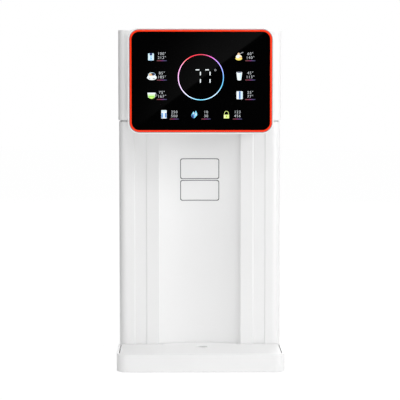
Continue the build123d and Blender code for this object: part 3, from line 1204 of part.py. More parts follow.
def board_place(across_share, up_share):
    """A place on the main board, as shares of its width and height from the middle."""
    across = across_share * MAIN_BOARD_WIDTH
    return (MAIN_BOARD_X + across, MAIN_BOARD_Z + up_share * MAIN_BOARD_HEIGHT)


def board_part(across_share, up_share, width, height, rise):
    """A square part standing on the main board."""
    y = (MAIN_BOARD_FACE_Y - rise, MAIN_BOARD_FACE_Y)
    return window(board_place(across_share, up_share), width, height, y)


def board_components():
    """Transformer, relays, capacitors and connectors on the main board."""
    parts = [board_part(*TRANSFORMER_SHARES, TRANSFORMER_SIZE, TRANSFORMER_SIZE, TRANSFORMER_HEIGHT)]
    for up_share in RELAY_UP_SHARES:
        parts.append(board_part(RELAY_ACROSS_SHARE, up_share, RELAY_WIDTH, RELAY_DEPTH, RELAY_HEIGHT))
    capacitor_y = (MAIN_BOARD_FACE_Y - CAPACITOR_HEIGHT, MAIN_BOARD_FACE_Y)
    for up_share in CAPACITOR_UP_SHARES:
        place = board_place(CAPACITOR_ACROSS_SHARE, up_share)
        parts.append(rod("Y", place, capacitor_y, CAPACITOR_RADIUS))
    for across_share in CONNECTOR_ACROSS_SHARES:
        connector = (CONNECTOR_WIDTH, CONNECTOR_HEIGHT, CONNECTOR_HEIGHT)
        parts.append(board_part(across_share, CONNECTOR_UP_SHARE, *connector))
    return Compound(children=parts)


def triac_heatsink():
    """The finned heat sink of the heater's switch."""
    middle = board_place(*SINK_SHARES)
    base_y = (MAIN_BOARD_FACE_Y - SINK_BASE, MAIN_BOARD_FACE_Y)
    sink = window(middle, SINK_WIDTH, SINK_LENGTH, base_y)
    fin_y = (base_y[0] - SINK_FIN_HEIGHT, base_y[0])
    pitch = (SINK_WIDTH - SINK_FIN_WIDTH) / (SINK_FINS - 1)
    for number in range(SINK_FINS):
        x = middle[0] - SINK_WIDTH / 2 + SINK_FIN_WIDTH / 2 + number * pitch
        sink += window((x, middle[1]), SINK_FIN_WIDTH, SINK_LENGTH, fin_y)
    return sink


def board_screws():
    """The four screws of the main board."""
    face = MAIN_BOARD_FACE_Y
    screws = []
    for place in board_boss_places():
        screw = rod("Y", place, (face - BOARD_SCREW_HEAD, face), BOARD_SCREW_HEAD_RADIUS)
        screw += rod("Y", place, (face, face + BOARD_SCREW_LENGTH), BOARD_SCREW_RADIUS)
        screws.append(screw)
    return Compound(children=screws)


def display_ribbon():
    """The flat cable from the display board down to a connector on the main board."""
    x, end_z = board_place(CONNECTOR_ACROSS_SHARES[1], CONNECTOR_UP_SHARE)
    level = SEAM_HEIGHT + RIBBON_LEVEL
    drop_y = FRONT_Y + RIBBON_DROP_REACH
    path = FilletPolyline(
        (x, DISPLAY_BOARD_Y + BOARD_THICKNESS, level),
        (x, drop_y, level),
        (x, drop_y, end_z),
        (x, MAIN_BOARD_FACE_Y - CONNECTOR_HEIGHT, end_z),
        radius=RIBBON_BEND_RADIUS,
    )
    start = Plane(origin=path @ 0, x_dir=(1, 0, 0), z_dir=path % 0)
    return sweep(start * Rectangle(RIBBON_WIDTH, RIBBON_THICKNESS), path=path)


def cord_gland():
    """The bush in the cradle's back where the mains lead enters."""
    place = (GLAND_X, SWITCH_Z)
    inside = CRADLE_REAR_Y - SHELL_WALL - GLAND_INSIDE
    outside = CRADLE_REAR_Y + GLAND_FLANGE_THICKNESS
    gland = rod("Y", place, (inside, CRADLE_REAR_Y), GLAND_RADIUS)
    gland += rod("Y", place, (CRADLE_REAR_Y, outside), GLAND_FLANGE_RADIUS)
    return gland - rod("Y", place, (inside - CUT_OVERRUN, outside + CUT_OVERRUN), GLAND_BORE_RADIUS)


def switch_frame():
    """The frame of the power switch, snapped into the cradle's back."""
    half = SWITCH_WIDTH / 2
    up = SWITCH_HEIGHT / 2
    x = (SWITCH_X - half, SWITCH_X + half)
    frame = block(x, (CRADLE_REAR_Y, CRADLE_REAR_Y + SWITCH_FLANGE), (SWITCH_Z - up, SWITCH_Z + up))
    body_half = half - SWITCH_FLANGE
    body_up = up - SWITCH_FLANGE
    body_y = (CRADLE_REAR_Y - SWITCH_BODY_DEPTH, CRADLE_REAR_Y)
    body_z = (SWITCH_Z - body_up, SWITCH_Z + body_up)
    frame += block((SWITCH_X - body_half, SWITCH_X + body_half), body_y, body_z)
    well_half = (ROCKER_HALF**2 + ROCKER_RISE**2) ** 0.5 + RUN_GAP
    well_up = body_up - SWITCH_WALL
    well_y = (SWITCH_PIVOT_Y - ROCKER_HALF - RUN_GAP, CRADLE_REAR_Y + SWITCH_FLANGE + CUT_OVERRUN)
    well_z = (SWITCH_Z - well_up, SWITCH_Z + well_up)
    frame -= block((SWITCH_X - well_half, SWITCH_X + well_half), well_y, well_z)
    pin_z = (SWITCH_Z - well_up - SWITCH_WALL / 2, SWITCH_Z + well_up + SWITCH_WALL / 2)
    return frame - rod("Z", (SWITCH_X, SWITCH_PIVOT_Y), pin_z, ROCKER_PIN_RADIUS + SHAFT_GAP)


def switch_rocker():
    """The rocker of the power switch, resting on its off side."""
    well_up = SWITCH_HEIGHT / 2 - SWITCH_FLANGE - SWITCH_WALL
    reach = well_up - RUN_GAP
    face = Polyline(
        (-ROCKER_HALF, 0),
        (-ROCKER_HALF, ROCKER_RISE),
        (0, ROCKER_VALLEY),
        (ROCKER_HALF, ROCKER_RISE),
        (ROCKER_HALF, 0),
    )
    keel = ThreePointArc((ROCKER_HALF, 0), (0, -ROCKER_KEEL), (-ROCKER_HALF, 0))
    profile = make_face(face.edges() + keel.edges())
    rocker = extrude(Pos(0, 0, -reach) * profile, 2 * reach)
    pin_reach = well_up + SWITCH_WALL / 2 - RUN_GAP
    rocker += rod("Z", (0, 0), (-pin_reach, pin_reach), ROCKER_PIN_RADIUS)
    return Pos(SWITCH_X, SWITCH_PIVOT_Y, SWITCH_Z) * Rot(0, 0, -ROCKER_TILT) * rocker


def case_screws():
    """The four screws that pull the rear shell against the head and the front cover."""
    screws = []
    for place in post_places(UPPER_POST_Z) + post_places(LOWER_POST_Z):
        head_y = PARTING_Y + SCREW_GRIP
        screw = rod("Y", place, (head_y, head_y + SCREW_HEAD), SCREW_HEAD_RADIUS)
        screw += rod("Y", place, (PARTING_Y - SCREW_GRIP, head_y), SCREW_RADIUS)
        screws.append(screw)
    return Compound(children=screws)


PIECES = (
    rear_shell, front_cover, head_housing, base_plate, tank_cradle, rubber_feet, case_screws, base_screws,
    trim_ring, touch_glass, light_mask, ring_light_guide, display_board, display_leds, display_ribbon,
    drip_tray, drip_plate, nozzle, nozzle_seal, steam_separator, separator_lid,
    water_tank, tank_cover, fill_lid, lid_pins, tank_valve, dock_spigot,
    inlet_hose, meter_hose, heater_hose, outlet_hose, hose_clips,
    pump_mount, pump_motor, pump_head, pump_impeller, flow_meter_body, flow_meter_turbine,
    heater_body, heater_caps, heater_brackets, thermal_cutouts, temperature_probe,
    main_board, board_components, triac_heatsink, board_screws,
    cord_gland, switch_frame, switch_rocker,
)

os.makedirs("parts", exist_ok=True)
for piece in PIECES:
    export_step(piece(), f"parts/{piece.__name__}.step")
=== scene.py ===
import json
import math

import bmesh
import bpy
from bpy.props import FloatProperty, FloatVectorProperty, IntProperty, PointerProperty, StringProperty
from mathutils import Matrix, Vector


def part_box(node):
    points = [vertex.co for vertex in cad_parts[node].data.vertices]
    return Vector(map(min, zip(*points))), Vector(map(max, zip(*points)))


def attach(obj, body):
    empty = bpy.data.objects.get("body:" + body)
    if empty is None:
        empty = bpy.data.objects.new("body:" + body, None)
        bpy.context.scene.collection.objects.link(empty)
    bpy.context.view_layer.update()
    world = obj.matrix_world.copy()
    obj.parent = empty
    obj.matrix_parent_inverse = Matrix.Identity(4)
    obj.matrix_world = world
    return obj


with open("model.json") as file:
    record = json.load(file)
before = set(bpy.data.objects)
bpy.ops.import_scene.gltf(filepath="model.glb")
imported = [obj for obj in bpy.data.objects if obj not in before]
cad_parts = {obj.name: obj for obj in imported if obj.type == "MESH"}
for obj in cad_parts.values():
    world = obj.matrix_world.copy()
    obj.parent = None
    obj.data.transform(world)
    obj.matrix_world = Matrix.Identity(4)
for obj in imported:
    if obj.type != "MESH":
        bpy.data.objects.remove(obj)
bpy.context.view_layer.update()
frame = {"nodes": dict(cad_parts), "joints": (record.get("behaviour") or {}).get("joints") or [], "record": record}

bl_info = {
    "name": "Hot water dispenser finishes",
    "version": (1, 0, 0),
    "blender": (4, 5, 0),
    "location": "View3D > Sidebar > Dispenser",
    "description": "Finishes, lit panel signs and small details for the hot water dispenser, and its studio",
    "category": "Object",
}

MM = 0.001
WHITE = (1.0, 1.0, 1.0, 1.0)
BLACK = (0.0, 0.0, 0.0, 1.0)
GRAIN_DEPTH = 0.1 * MM
SHORTEST_EDGE = 0.0001 * MM

# Places that the frame gives
GLASS_LOW, GLASS_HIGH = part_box("touch_glass")
GUIDE_LOW, GUIDE_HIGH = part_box("ring_light_guide")
TANK_LOW, TANK_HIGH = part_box("water_tank")
COVER_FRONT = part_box("front_cover")[0].y
PANEL_FRONT = GLASS_LOW.y
PANEL_Z = (GLASS_LOW.z + GLASS_HIGH.z) / 2
RING_Z = (GUIDE_LOW.z + GUIDE_HIGH.z) / 2


def tint(red, green, blue):
    """An 8-bit screen colour as the linear colour that shaders take."""
    linear = []
    for level in (red / 255, green / 255, blue / 255):
        linear.append(level / 12.92 if level <= 0.04045 else ((level + 0.055) / 1.055) ** 2.4)
    return tuple(linear)


def opaque(colour):
    """A colour with full alpha."""
    return (*colour[:3], 1.0)


def darker(colour, share):
    """A colour dimmed by a share."""
    return tuple(level * (1 - share) for level in colour[:3])


class ShellLook(bpy.types.PropertyGroup):
    """Colours of the mouldings that make up the outside."""

    white: FloatVectorProperty(
        name="White", description="White of the housing, tray and lid",
        subtype="COLOR", min=0.0, max=1.0, default=tint(236, 236, 236))
    trim: FloatVectorProperty(
        name="Trim", description="Colour of the frame round the glass",
        subtype="COLOR", min=0.0, max=1.0, default=tint(255, 52, 6))
    gloss: FloatProperty(
        name="Roughness", description="Roughness of the white mouldings",
        subtype="FACTOR", min=0.05, max=1.0, default=0.36)


class PanelLook(bpy.types.PropertyGroup):
    """Sizes and brightness of the lit signs on the glass."""

    ring_radius: FloatProperty(
        name="Ring radius", description="Outer radius of the lit ring",
        subtype="DISTANCE", unit="LENGTH", default=25.8 * MM)
    ring_stroke: FloatProperty(
        name="Ring stroke", description="Width of the lit ring",
        subtype="DISTANCE", unit="LENGTH", default=0.85 * MM)
    sign_scale: FloatProperty(
        name="Sign scale", description="Size of the nine signs", min=0.5, max=1.5, default=0.88)
    number_height: FloatProperty(
        name="Number height", description="Type size of the key numbers",
        subtype="DISTANCE", unit="LENGTH", default=4.3 * MM)
    readout: StringProperty(
        name="Readout", description="The two digits inside the ring", default="77")
    glow: FloatProperty(
        name="Glow", description="Brightness of the lit signs", min=0.0, max=4.0, default=1.15)


class NicheLook(bpy.types.PropertyGroup):
    """Sizes of the two bare plates in the niche."""

    width: FloatProperty(
        name="Width", description="Width of a plate",
        subtype="DISTANCE", unit="LENGTH", default=46.2 * MM)
    height: FloatProperty(
        name="Height", description="Height of a plate",
        subtype="DISTANCE", unit="LENGTH", default=24.5 * MM)
    line: FloatProperty(
        name="Line", description="Width of the grey line round a plate",
        subtype="DISTANCE", unit="LENGTH", default=0.9 * MM)
    radius: FloatProperty(
        name="Corner radius", description="Corner radius of a plate",
        subtype="DISTANCE", unit="LENGTH", default=2.4 * MM)


class TankLook(bpy.types.PropertyGroup):
    """Marks and grips on the water tank."""

    litre: FloatProperty(
        name="Litre", description="Height of one litre in the tank",
        subtype="DISTANCE", unit="LENGTH", default=86.0 * MM)
    grips: IntProperty(name="Grips", description="Ribs of each finger grip", min=2, max=9, default=5)


class StudioLook(bpy.types.PropertyGroup):
    """Camera and light."""

    distance: FloatProperty(
        name="Distance", description="Camera in front of the columns",
        subtype="DISTANCE", unit="LENGTH", default=1.941)
    height: FloatProperty(
        name="Height", description="Camera above the counter",
        subtype="DISTANCE", unit="LENGTH", default=0.3315)
    aside: FloatProperty(
        name="Aside", description="Camera to the left of the middle",
        subtype="DISTANCE", unit="LENGTH", default=0.028)
    target: FloatProperty(
        name="Target height", description="Height on the columns in the middle of the frame",
        subtype="DISTANCE", unit="LENGTH", default=0.1916)
    swing: FloatProperty(
        name="Swing", description="Point aimed at, right of the middle",
        subtype="DISTANCE", unit="LENGTH", default=0.0002)
    lens: FloatProperty(
        name="Lens", description="Focal length on a 36 mm sensor", unit="CAMERA", default=148.7)
    key: FloatProperty(name="Key light", description="Large lamp on the right", unit="POWER", default=20.3)
    fill: FloatProperty(name="Fill light", description="Lamp on the left", unit="POWER", default=7.1)
    front: FloatProperty(name="Front light", description="High lamp in front", unit="POWER", default=3.6)
    top: FloatProperty(name="Top light", description="Lamp overhead", unit="POWER", default=8.8)
    back: FloatProperty(name="Back light", description="Lamp behind the tank", unit="POWER", default=15.0)
    room: FloatProperty(name="Room light", description="Light from all round", min=0.0, max=2.0, default=0.36)


class Wire:
    """One output of a node, ready for sums."""

    def __init__(self, nodes, socket):
        self.nodes = nodes
        self.socket = socket

    def __add__(self, other):
        return self.nodes.maths("ADD", self, other)

    def __radd__(self, other):
        return self.nodes.maths("ADD", other, self)

    def __sub__(self, other):
        return self.nodes.maths("SUBTRACT", self, other)

    def __rsub__(self, other):
        return self.nodes.maths("SUBTRACT", other, self)

    def __mul__(self, other):
        return self.nodes.maths("MULTIPLY", self, other)

    def __rmul__(self, other):
        return self.nodes.maths("MULTIPLY", other, self)

    def __truediv__(self, other):
        return self.nodes.maths("DIVIDE", self, other)

    def __rtruediv__(self, other):
        return self.nodes.maths("DIVIDE", other, self)


class Nodes:
    """A node tree that grows by one method."""

    def __init__(self, tree):
        self.tree = tree

    def connect(self, socket, value):
        """Links a wire to a socket, or sets the socket to a value."""
        if isinstance(value, Wire):
            self.tree.links.new(value.socket, socket)
        else:
            socket.default_value = value

    def add(self, kind, settings, sockets, output=0):
        """One node with its settings and then its sockets; gives one of its outputs."""
        node = self.tree.nodes.new(kind)
        for setting, value in settings.items():
            if setting == "stops":
                ramp = node.color_ramp
                while len(ramp.elements) < len(value):
                    ramp.elements.new(1.0)
                for element, (position, colour) in zip(ramp.elements, value):
                    element.position = position
                    element.color = opaque(colour)
            else:
                setattr(node, setting, value)
        for socket, value in sockets.items():
            self.connect(node.inputs[socket], value)
        return Wire(self, node.outputs[output])

    def maths(self, operation, left, right):
        """A sum, or another operation on two values."""
        return self.add("ShaderNodeMath", {"operation": operation}, {0: left, 1: right})

    def ray(self, kind):
        """One for rays of a kind, such as Camera, and zero for others."""
        return self.add("ShaderNodeLightPath", {}, {}, f"Is {kind} Ray")


class Finish(Nodes):
    """A material built from nodes round one Principled shader."""

    def __init__(self, name):
        self.material = bpy.data.materials.new(name)
        self.material.use_nodes = True
        super().__init__(self.material.node_tree)
        self.shader = self.tree.nodes["Principled BSDF"]
        self.place = self.add("ShaderNodeTexCoord", {}, {}, "Object")

    def shade(self, **sockets):
        """Feeds the shader's sockets, with spaces for underscores, and gives the material."""
        for name, value in sockets.items():
            self.connect(self.shader.inputs[name.replace("_", " ")], value)
        return self.material

    def noise(self, scale, detail, stretch=None):
        """Noise over the piece, finer along an axis whose stretch is larger."""
        where = self.place
        if stretch:
            where = self.add("ShaderNodeMapping", {}, {"Vector": where, "Scale": stretch})
        return self.add("ShaderNodeTexNoise", {}, {"Vector": where, "Scale": scale, "Detail": detail})

    def between(self, amount, first, second):
        """A colour between two others."""
        colours = {0: amount}
        for socket, colour in ((6, first), (7, second)):
            colours[socket] = colour if isinstance(colour, Wire) else opaque(colour)
        return self.add("ShaderNodeMix", {"data_type": "RGBA"}, colours, 2)

    def ramp(self, stops, value):
        """The colour at a value along a row of stops."""
        return self.add("ShaderNodeValToRGB", {"stops": stops}, {0: value})

    def bump(self, height, strength, distance=GRAIN_DEPTH):
        """A normal that follows a height."""
        sockets = {"Strength": strength, "Distance": distance, "Height": height}
        return self.add("ShaderNodeBump", {}, sockets, "Normal")

    def axis(self, letter, place=None):
        """One coordinate of a place, by default of the place on the piece."""
        return self.add("ShaderNodeSeparateXYZ", {}, {0: place or self.place}, letter)


def moulded(name, colour, roughness, grain=1400.0, relief=0.06, shift=0.03):
    """Moulded plastic: a broad drift of tone and gloss over a fine moulding grain."""
    finish = Finish(name)
    drift = finish.noise(7.0, 3.0)
    fine = finish.noise(grain, 2.0)
    return finish.shade(
        Base_Color=finish.between(drift, darker(colour, shift), colour),
        Roughness=roughness + (drift - 0.5) * 0.16 + (fine - 0.5) * 0.05,
        Normal=finish.bump(fine, relief),
    )


def plated(name, colour, roughness, stretch):
    """Metal with a drawn or turned grain along one direction."""
    finish = Finish(name)
    streak = finish.noise(900.0, 3.0, stretch)
    cloud = finish.noise(40.0, 2.0)
    return finish.shade(
        Base_Color=finish.between(streak, darker(colour, 0.2), colour),
        Roughness=roughness + (streak - 0.5) * 0.2 + (cloud - 0.5) * 0.1,
        Metallic=1.0,
        Normal=finish.bump(streak, 0.12),
    )


def soft(name, colour, roughness, through=0.0):
    """Rubber or silicone with a dull, slightly pitted skin, which may let some light through."""
    finish = Finish(name)
    pits = finish.noise(2200.0, 3.0)
    bloom = finish.noise(60.0, 3.0)
    return finish.shade(
        Base_Color=finish.between(bloom, colour, darker(colour, 0.25)),
        Roughness=roughness + (pits - 0.5) * 0.2,
        Transmission_Weight=through,
        Normal=finish.bump(pits, 0.25),
    )


def clear(name, colour, roughness, through):
    """Clear moulded plastic with a faint flow pattern."""
    finish = Finish(name)
    flow = finish.noise(18.0, 3.0, (1.0, 1.0, 0.3))
    return finish.shade(
        Base_Color=finish.between(flow, darker(colour, 0.03), colour),
        Roughness=roughness + (flow - 0.5) * 0.04,
        Transmission_Weight=through,
        IOR=1.49,
    )


def circuit(name, colour):
    """A circuit board: solder mask with copper tracks under it and bare pads."""
    finish = Finish(name)
    tracks = finish.add(
        "ShaderNodeTexBrick", {"offset": 0.5},
        {"Vector": finish.place, "Scale": 160.0, "Mortar Size": 0.04, "Mortar Smooth": 0.1}, 1)
    pads = finish.add("ShaderNodeTexVoronoi", {}, {"Vector": finish.place, "Scale": 300.0}, "Distance")
    bare = finish.maths("LESS_THAN", pads, 0.12)
    mask = finish.between(tracks, colour, tuple(level * 1.7 for level in colour))
    return finish.shade(
        Base_Color=finish.between(bare, mask, tint(205, 190, 120)),
        Roughness=0.42 - bare * 0.15,
        Metallic=bare,
        Normal=finish.bump(tracks, 0.1),
    )


def ribbon(name, colour):
    """A flat cable: many fine cores side by side."""
    finish = Finish(name)
    cores = finish.add(
        "ShaderNodeTexWave", {"wave_type": "BANDS", "bands_direction": "X"},
        {"Vector": finish.place, "Scale": 160.0, "Distortion": 0.0}, 1)
    return finish.shade(
        Base_Color=finish.between(cores, darker(colour, 0.35), colour),
        Roughness=0.5 + cores * 0.1,
        Normal=finish.bump(cores, 0.4, 0.3 * MM),
    )


def panel_glass(name):
    """Polished black glass with the faintest smears."""
    finish = Finish(name)
    smear = finish.noise(22.0, 4.0, (1.0, 1.0, 2.2))
    return finish.shade(
        Base_Color=finish.between(smear, (0.0002, 0.0002, 0.00025), (0.0004, 0.0004, 0.00045)),
        Roughness=0.012 + smear * 0.012,
        IOR=1.45,
    )


# Each slot's kind of finish, then its colour, its roughness and what else that kind takes
FINISHES = {
    "black_glass": (panel_glass,),
    "base_plastic": (moulded, tint(226, 226, 224), 0.5, 900.0, 0.15),
    "dark_rubber": (soft, tint(46, 46, 47), 0.72),
    "screw_steel": (plated, tint(196, 196, 198), 0.34, (1.0, 1.0, 0.05)),
    "mask_white": (moulded, tint(232, 232, 230), 0.55, 900.0, 0.12),
    "light_guide": (clear, tint(240, 244, 248), 0.2, 0.8),
    "circuit_board": (circuit, tint(24, 92, 52)),
    "lamp_white": (moulded, tint(244, 242, 226), 0.3, 1800.0, 0.03),
    "ribbon_grey": (ribbon, tint(196, 198, 200)),
    "clear_hose": (soft, tint(226, 230, 231), 0.4, 0.55),
    "soft_silicone": (soft, tint(228, 228, 226), 0.5),
    "clear_tank": (clear, tint(243, 249, 252), 0.06, 0.96),
    "inner_white": (moulded, tint(236, 235, 230), 0.45, 1000.0, 0.1),
    "inner_black": (moulded, tint(34, 34, 36), 0.5, 1000.0, 0.15, 0.2),
    "motor_steel": (plated, tint(188, 189, 192), 0.36, (1.0, 0.05, 1.0)),
    "heater_steel": (plated, tint(206, 206, 208), 0.28, (1.0, 1.0, 0.05)),
    "bracket_steel": (plated, tint(190, 190, 192), 0.4, (0.1, 1.0, 1.0)),
    "sink_aluminium": (plated, tint(214, 216, 218), 0.42, (1.0, 1.0, 0.04)),
    "component_dark": (moulded, tint(52, 52, 56), 0.5, 1200.0, 0.1, 0.3),
    "probe_brass": (plated, tint(214, 178, 104), 0.3, (1.0, 1.0, 0.1)),
    "rocker_black": (moulded, tint(24, 24, 25), 0.22, 1800.0, 0.04, 0.2),
}


def finish_for(slot, shell):
    """The material of one slot of the record, from the settings or else from the list above."""
    set_by_hand = {
        "white_shell": (moulded, tuple(shell.white), shell.gloss),
        "tray_plate": (moulded, tint(244, 244, 244), shell.gloss + 0.06, 1100.0, 0.08),
        "orange_trim": (moulded, tuple(shell.trim), 0.24, 1600.0, 0.04, 0.06),
    }
    maker, *look = set_by_hand.get(slot) or FINISHES[slot]
    return maker(slot, *look)


# Colours round the ring as shares of a turn, anticlockwise from its left end
RING_STOPS = (
    (0.0, tint(240, 178, 234)),
    (0.07, tint(232, 204, 244)),
    (0.13, tint(226, 224, 248)),
    (0.2, tint(150, 214, 242)),
    (0.25, tint(96, 200, 232)),
    (0.31, tint(160, 214, 242)),
    (0.36, tint(196, 222, 242)),
    (0.43, tint(96, 196, 234)),
    (0.5, tint(98, 172, 234)),
    (0.56, tint(150, 162, 248)),
    (0.62, tint(192, 152, 246)),
    (0.67, tint(222, 96, 196)),
    (0.71, tint(212, 72, 116)),
    (0.75, tint(208, 46, 66)),
    (0.82, tint(238, 38, 62)),
    (0.85, tint(238, 84, 92)),
    (0.88, tint(238, 128, 138)),
    (0.92, tint(240, 158, 208)),
    (1.0, tint(240, 178, 234)),
)
# Colours along the line of a key, from its left end
LINE_STOPS = (
    (0.0, tint(160, 88, 96)),
    (0.28, tint(186, 70, 90)),
    (0.5, tint(180, 58, 168)),
    (0.76, tint(112, 96, 168)),
    (1.0, tint(52, 66, 122)),
)


def glowing(finish, colour, glow):
    """Completes the finish of a lit print: dark ink that shines in a colour."""
    return finish.shade(
        Base_Color=(0.01, 0.01, 0.01, 1.0),
        Roughness=0.35,
        Emission_Color=colour,
        Emission_Strength=glow,
    )


def lit(name, colour, glow):
    """A lit sign: light through a finely screened ink."""
    finish = Finish(name)
    screen = finish.noise(2600.0, 1.0)
    return glowing(finish, finish.between(screen, darker(colour, 0.14), colour), glow)


def ring_light(name, glow):
    """The lit ring, whose colour runs round its middle."""
    finish = Finish(name)
    angle = finish.maths("ARCTAN2", finish.axis("Z") - RING_Z, finish.axis("X"))
    colour = finish.ramp(RING_STOPS, angle / (2 * math.pi) + 0.5)
    screen = finish.noise(1800.0, 1.0)
    dim = finish.between(0.12, colour, BLACK)
    return glowing(finish, finish.between(screen, dim, colour), glow)


def line_light(name, glow):
    """The lines under the key numbers, red to blue along each line."""
    finish = Finish(name)
    along = finish.add("ShaderNodeTexCoord", {}, {}, "UV")
    return glowing(finish, finish.ramp(LINE_STOPS, finish.axis("X", along)), glow)


# Colours of the lit inks
INKS = {
    "ink_white": tint(238, 246, 248),
    "ink_number": tint(196, 200, 204),
    "ink_ice": tint(196, 232, 242),
    "ink_sky": tint(126, 178, 232),
    "ink_blue": tint(52, 88, 164),
    "ink_cyan": tint(120, 218, 246),
    "ink_navy": tint(26, 44, 104),
    "ink_brown": tint(44, 32, 34),
    "ink_tan": tint(228, 190, 148),
    "ink_cream": tint(246, 238, 206),
    "ink_yellow": tint(246, 226, 108),
    "ink_orange": tint(238, 176, 104),
    "ink_green": tint(166, 238, 98),
    "ink_mint": tint(214, 246, 186),
    "ink_lime": tint(228, 246, 142),
    "ink_leaf": tint(150, 186, 66),
    "ink_grey": tint(150, 152, 156),
}


def sign_ink(name):
    """The material of one panel ink, made once."""
    glow = bpy.context.scene.dispenser_panel.glow
    return bpy.data.materials.get(name) or lit(name, INKS[name], glow)


def box_loop(x, z, width, height, radius=0.0, steps=5):
    """A rectangle with rounded corners, as points in millimetres."""
    points = []
    corners = ((1, 1, 0), (-1, 1, 90), (-1, -1, 180), (1, -1, 270))
    for side, level, start in corners:
        middle_x = x + side * (width / 2 - radius)
        middle_z = z + level * (height / 2 - radius)
        for step in range(steps if radius else 1):
            angle = math.radians(start + 90 * step / (steps - 1))
            points.append((middle_x + radius * math.cos(angle), middle_z + radius * math.sin(angle)))
    return points


def oval_loop(x, z, half_width, half_height, steps=32):
    """An ellipse."""
    turn = 2 * math.pi / steps
    return [(x + half_width * math.cos(turn * n), z + half_height * math.sin(turn * n)) for n in range(steps)]


def cup_loop(x, z, top, bottom, height, sag=0.0, steps=9):
    """A tapered cup: straight sides and a foot that bows down by a sag."""
    points = [(x + top / 2, z + height / 2), (x - top / 2, z + height / 2)]
    for step in range(steps):
        share = step / (steps - 1)
        across = (share - 0.5) * bottom
        points.append((x + across, z - height / 2 - sag * math.sin(math.pi * share)))
    return points


def band_loop(x, z, inner, outer, start, stop, steps=28):
    """A part of a ring between two angles in degrees."""
    angles = [math.radians(start + (stop - start) * n / (steps - 1)) for n in range(steps)]
    rim = [(x + outer * math.cos(a), z + outer * math.sin(a)) for a in angles]
    return rim + [(x + inner * math.cos(a), z + inner * math.sin(a)) for a in reversed(angles)]


DROP_FULLNESS = 1.3


def drop_loop(x, z, radius, length, lean=0.0, steps=26):
    """A drop with its tip up, leaning sideways."""
    points = []
    for step in range(steps):
        angle = 2 * math.pi * step / steps
        rise = math.cos(angle)
        width = math.sin(angle) * math.sin(angle / 2) * DROP_FULLNESS
        points.append((x + radius * width + lean * (1 + rise) / 2, z + length / 2 * rise))
    return points


def stroke_loop(start, end, width):
    """A straight bar between two points."""
    along = (Vector(end) - Vector(start)).normalized()
    side = Vector((-along.y, along.x)) * width / 2
    ends = (Vector(start) + side, Vector(start) - side, Vector(end) - side, Vector(end) + side)
    return [tuple(corner) for corner in ends]


def new_object(name, build, materials):
    """A mesh object from a bmesh, linked to the scene."""
    mesh = bpy.data.meshes.new(name)
    build.to_mesh(mesh)
    build.free()
    for material in materials:
        mesh.materials.append(material)
    made = bpy.data.objects.new(name, mesh)
    bpy.context.scene.collection.objects.link(made)
    return made


def new_piece(name, build, materials, body):
    """A piece of the dispenser from a bmesh, riding on a body."""
    bmesh.ops.dissolve_degenerate(build, edges=build.edges, dist=SHORTEST_EDGE)
    bmesh.ops.recalc_face_normals(build, faces=build.faces)
    piece = new_object(name, build, materials)
    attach(piece, body)


def row_at(build, loop, y):
    """The points of an outline, standing upright at one depth."""
    return [build.verts.new((x * MM, y, z * MM)) for x, z in loop]


def join_rows(build, rows):
    """Faces between closed rows of points, each row beside the one before it."""
    faces = []
    count = len(rows[0])
    for first, second in zip(rows, rows[1:]):
        for n in range(count):
            after = (n + 1) % count
            faces.append(build.faces.new((first[n], second[n], second[after], first[after])))
    return faces


def add_layer(build, loop, front, thickness, index=0):
    """One flat printed shape on a face at a depth: a thin plate with its own edge."""
    rows = [row_at(build, loop, front - thickness), row_at(build, loop, front)]
    faces = [build.faces.new(rows[0]), *join_rows(build, rows)]
    for face in faces:
        face.material_index = index
    return faces


# Thickness of the first ink of a sign, and how much each further ink adds
INK_BASE, INK_STEP = 0.03 * MM, 0.012 * MM


def sign(name, layers, x=0.0, z=0.0, scale=1.0):
    """One panel sign out of inks laid over one another in front of the glass, about a place on it."""
    build = bmesh.new()
    inks = list(dict.fromkeys(ink for ink, loop in layers))
    for number, (ink, loop) in enumerate(layers):
        placed = [(x + across * scale, z + up * scale) for across, up in loop]
        add_layer(build, placed, PANEL_FRONT, INK_BASE + INK_STEP * number, inks.index(ink))
    new_piece(name, build, [sign_ink(ink) for ink in inks], "casing")


def on_panel(x, rise):
    """A place on the panel: millimetres right of its middle and above it."""
    return x, PANEL_Z / MM + rise


def jar_layers():
    """A water jar with a dark neck."""
    return (
        ("ink_ice", box_loop(0.0, -0.4, 7.4, 9.2, 1.0)),
        ("ink_white", box_loop(-2.4, -0.6, 1.1, 7.2, 0.5)),
        ("ink_white", box_loop(2.6, -0.6, 1.0, 7.2, 0.4)),
        ("ink_navy", box_loop(0.0, 2.9, 3.4, 2.9, 0.6)),
        ("ink_sky", box_loop(0.3, -1.2, 2.4, 3.6, 0.7)),
        ("ink_ice", box_loop(0.3, -0.9, 1.3, 2.2, 0.5)),
        ("ink_sky", box_loop(0.0, -4.4, 4.8, 0.7, 0.3)),
    )


def cup_layers():
    """A cup of coffee on a saucer."""
    return (
        ("ink_white", oval_loop(0.0, -1.6, 6.2, 3.3)),
        ("ink_ice", oval_loop(0.0, 1.8, 4.7, 3.0)),
        ("ink_white", oval_loop(0.0, 0.6, 4.4, 3.2)),
        ("ink_navy", oval_loop(1.5, 2.5, 2.6, 1.7)),
        ("ink_brown", oval_loop(0.2, 2.6, 1.9, 1.5)),
        ("ink_tan", oval_loop(-2.2, 2.2, 1.8, 1.6)),
        ("ink_orange", oval_loop(-1.0, 1.4, 1.4, 0.9)),
        ("ink_grey", oval_loop(2.4, -2.9, 1.5, 0.6)),
        ("ink_grey", oval_loop(-3.0, -2.7, 1.0, 0.5)),
    )


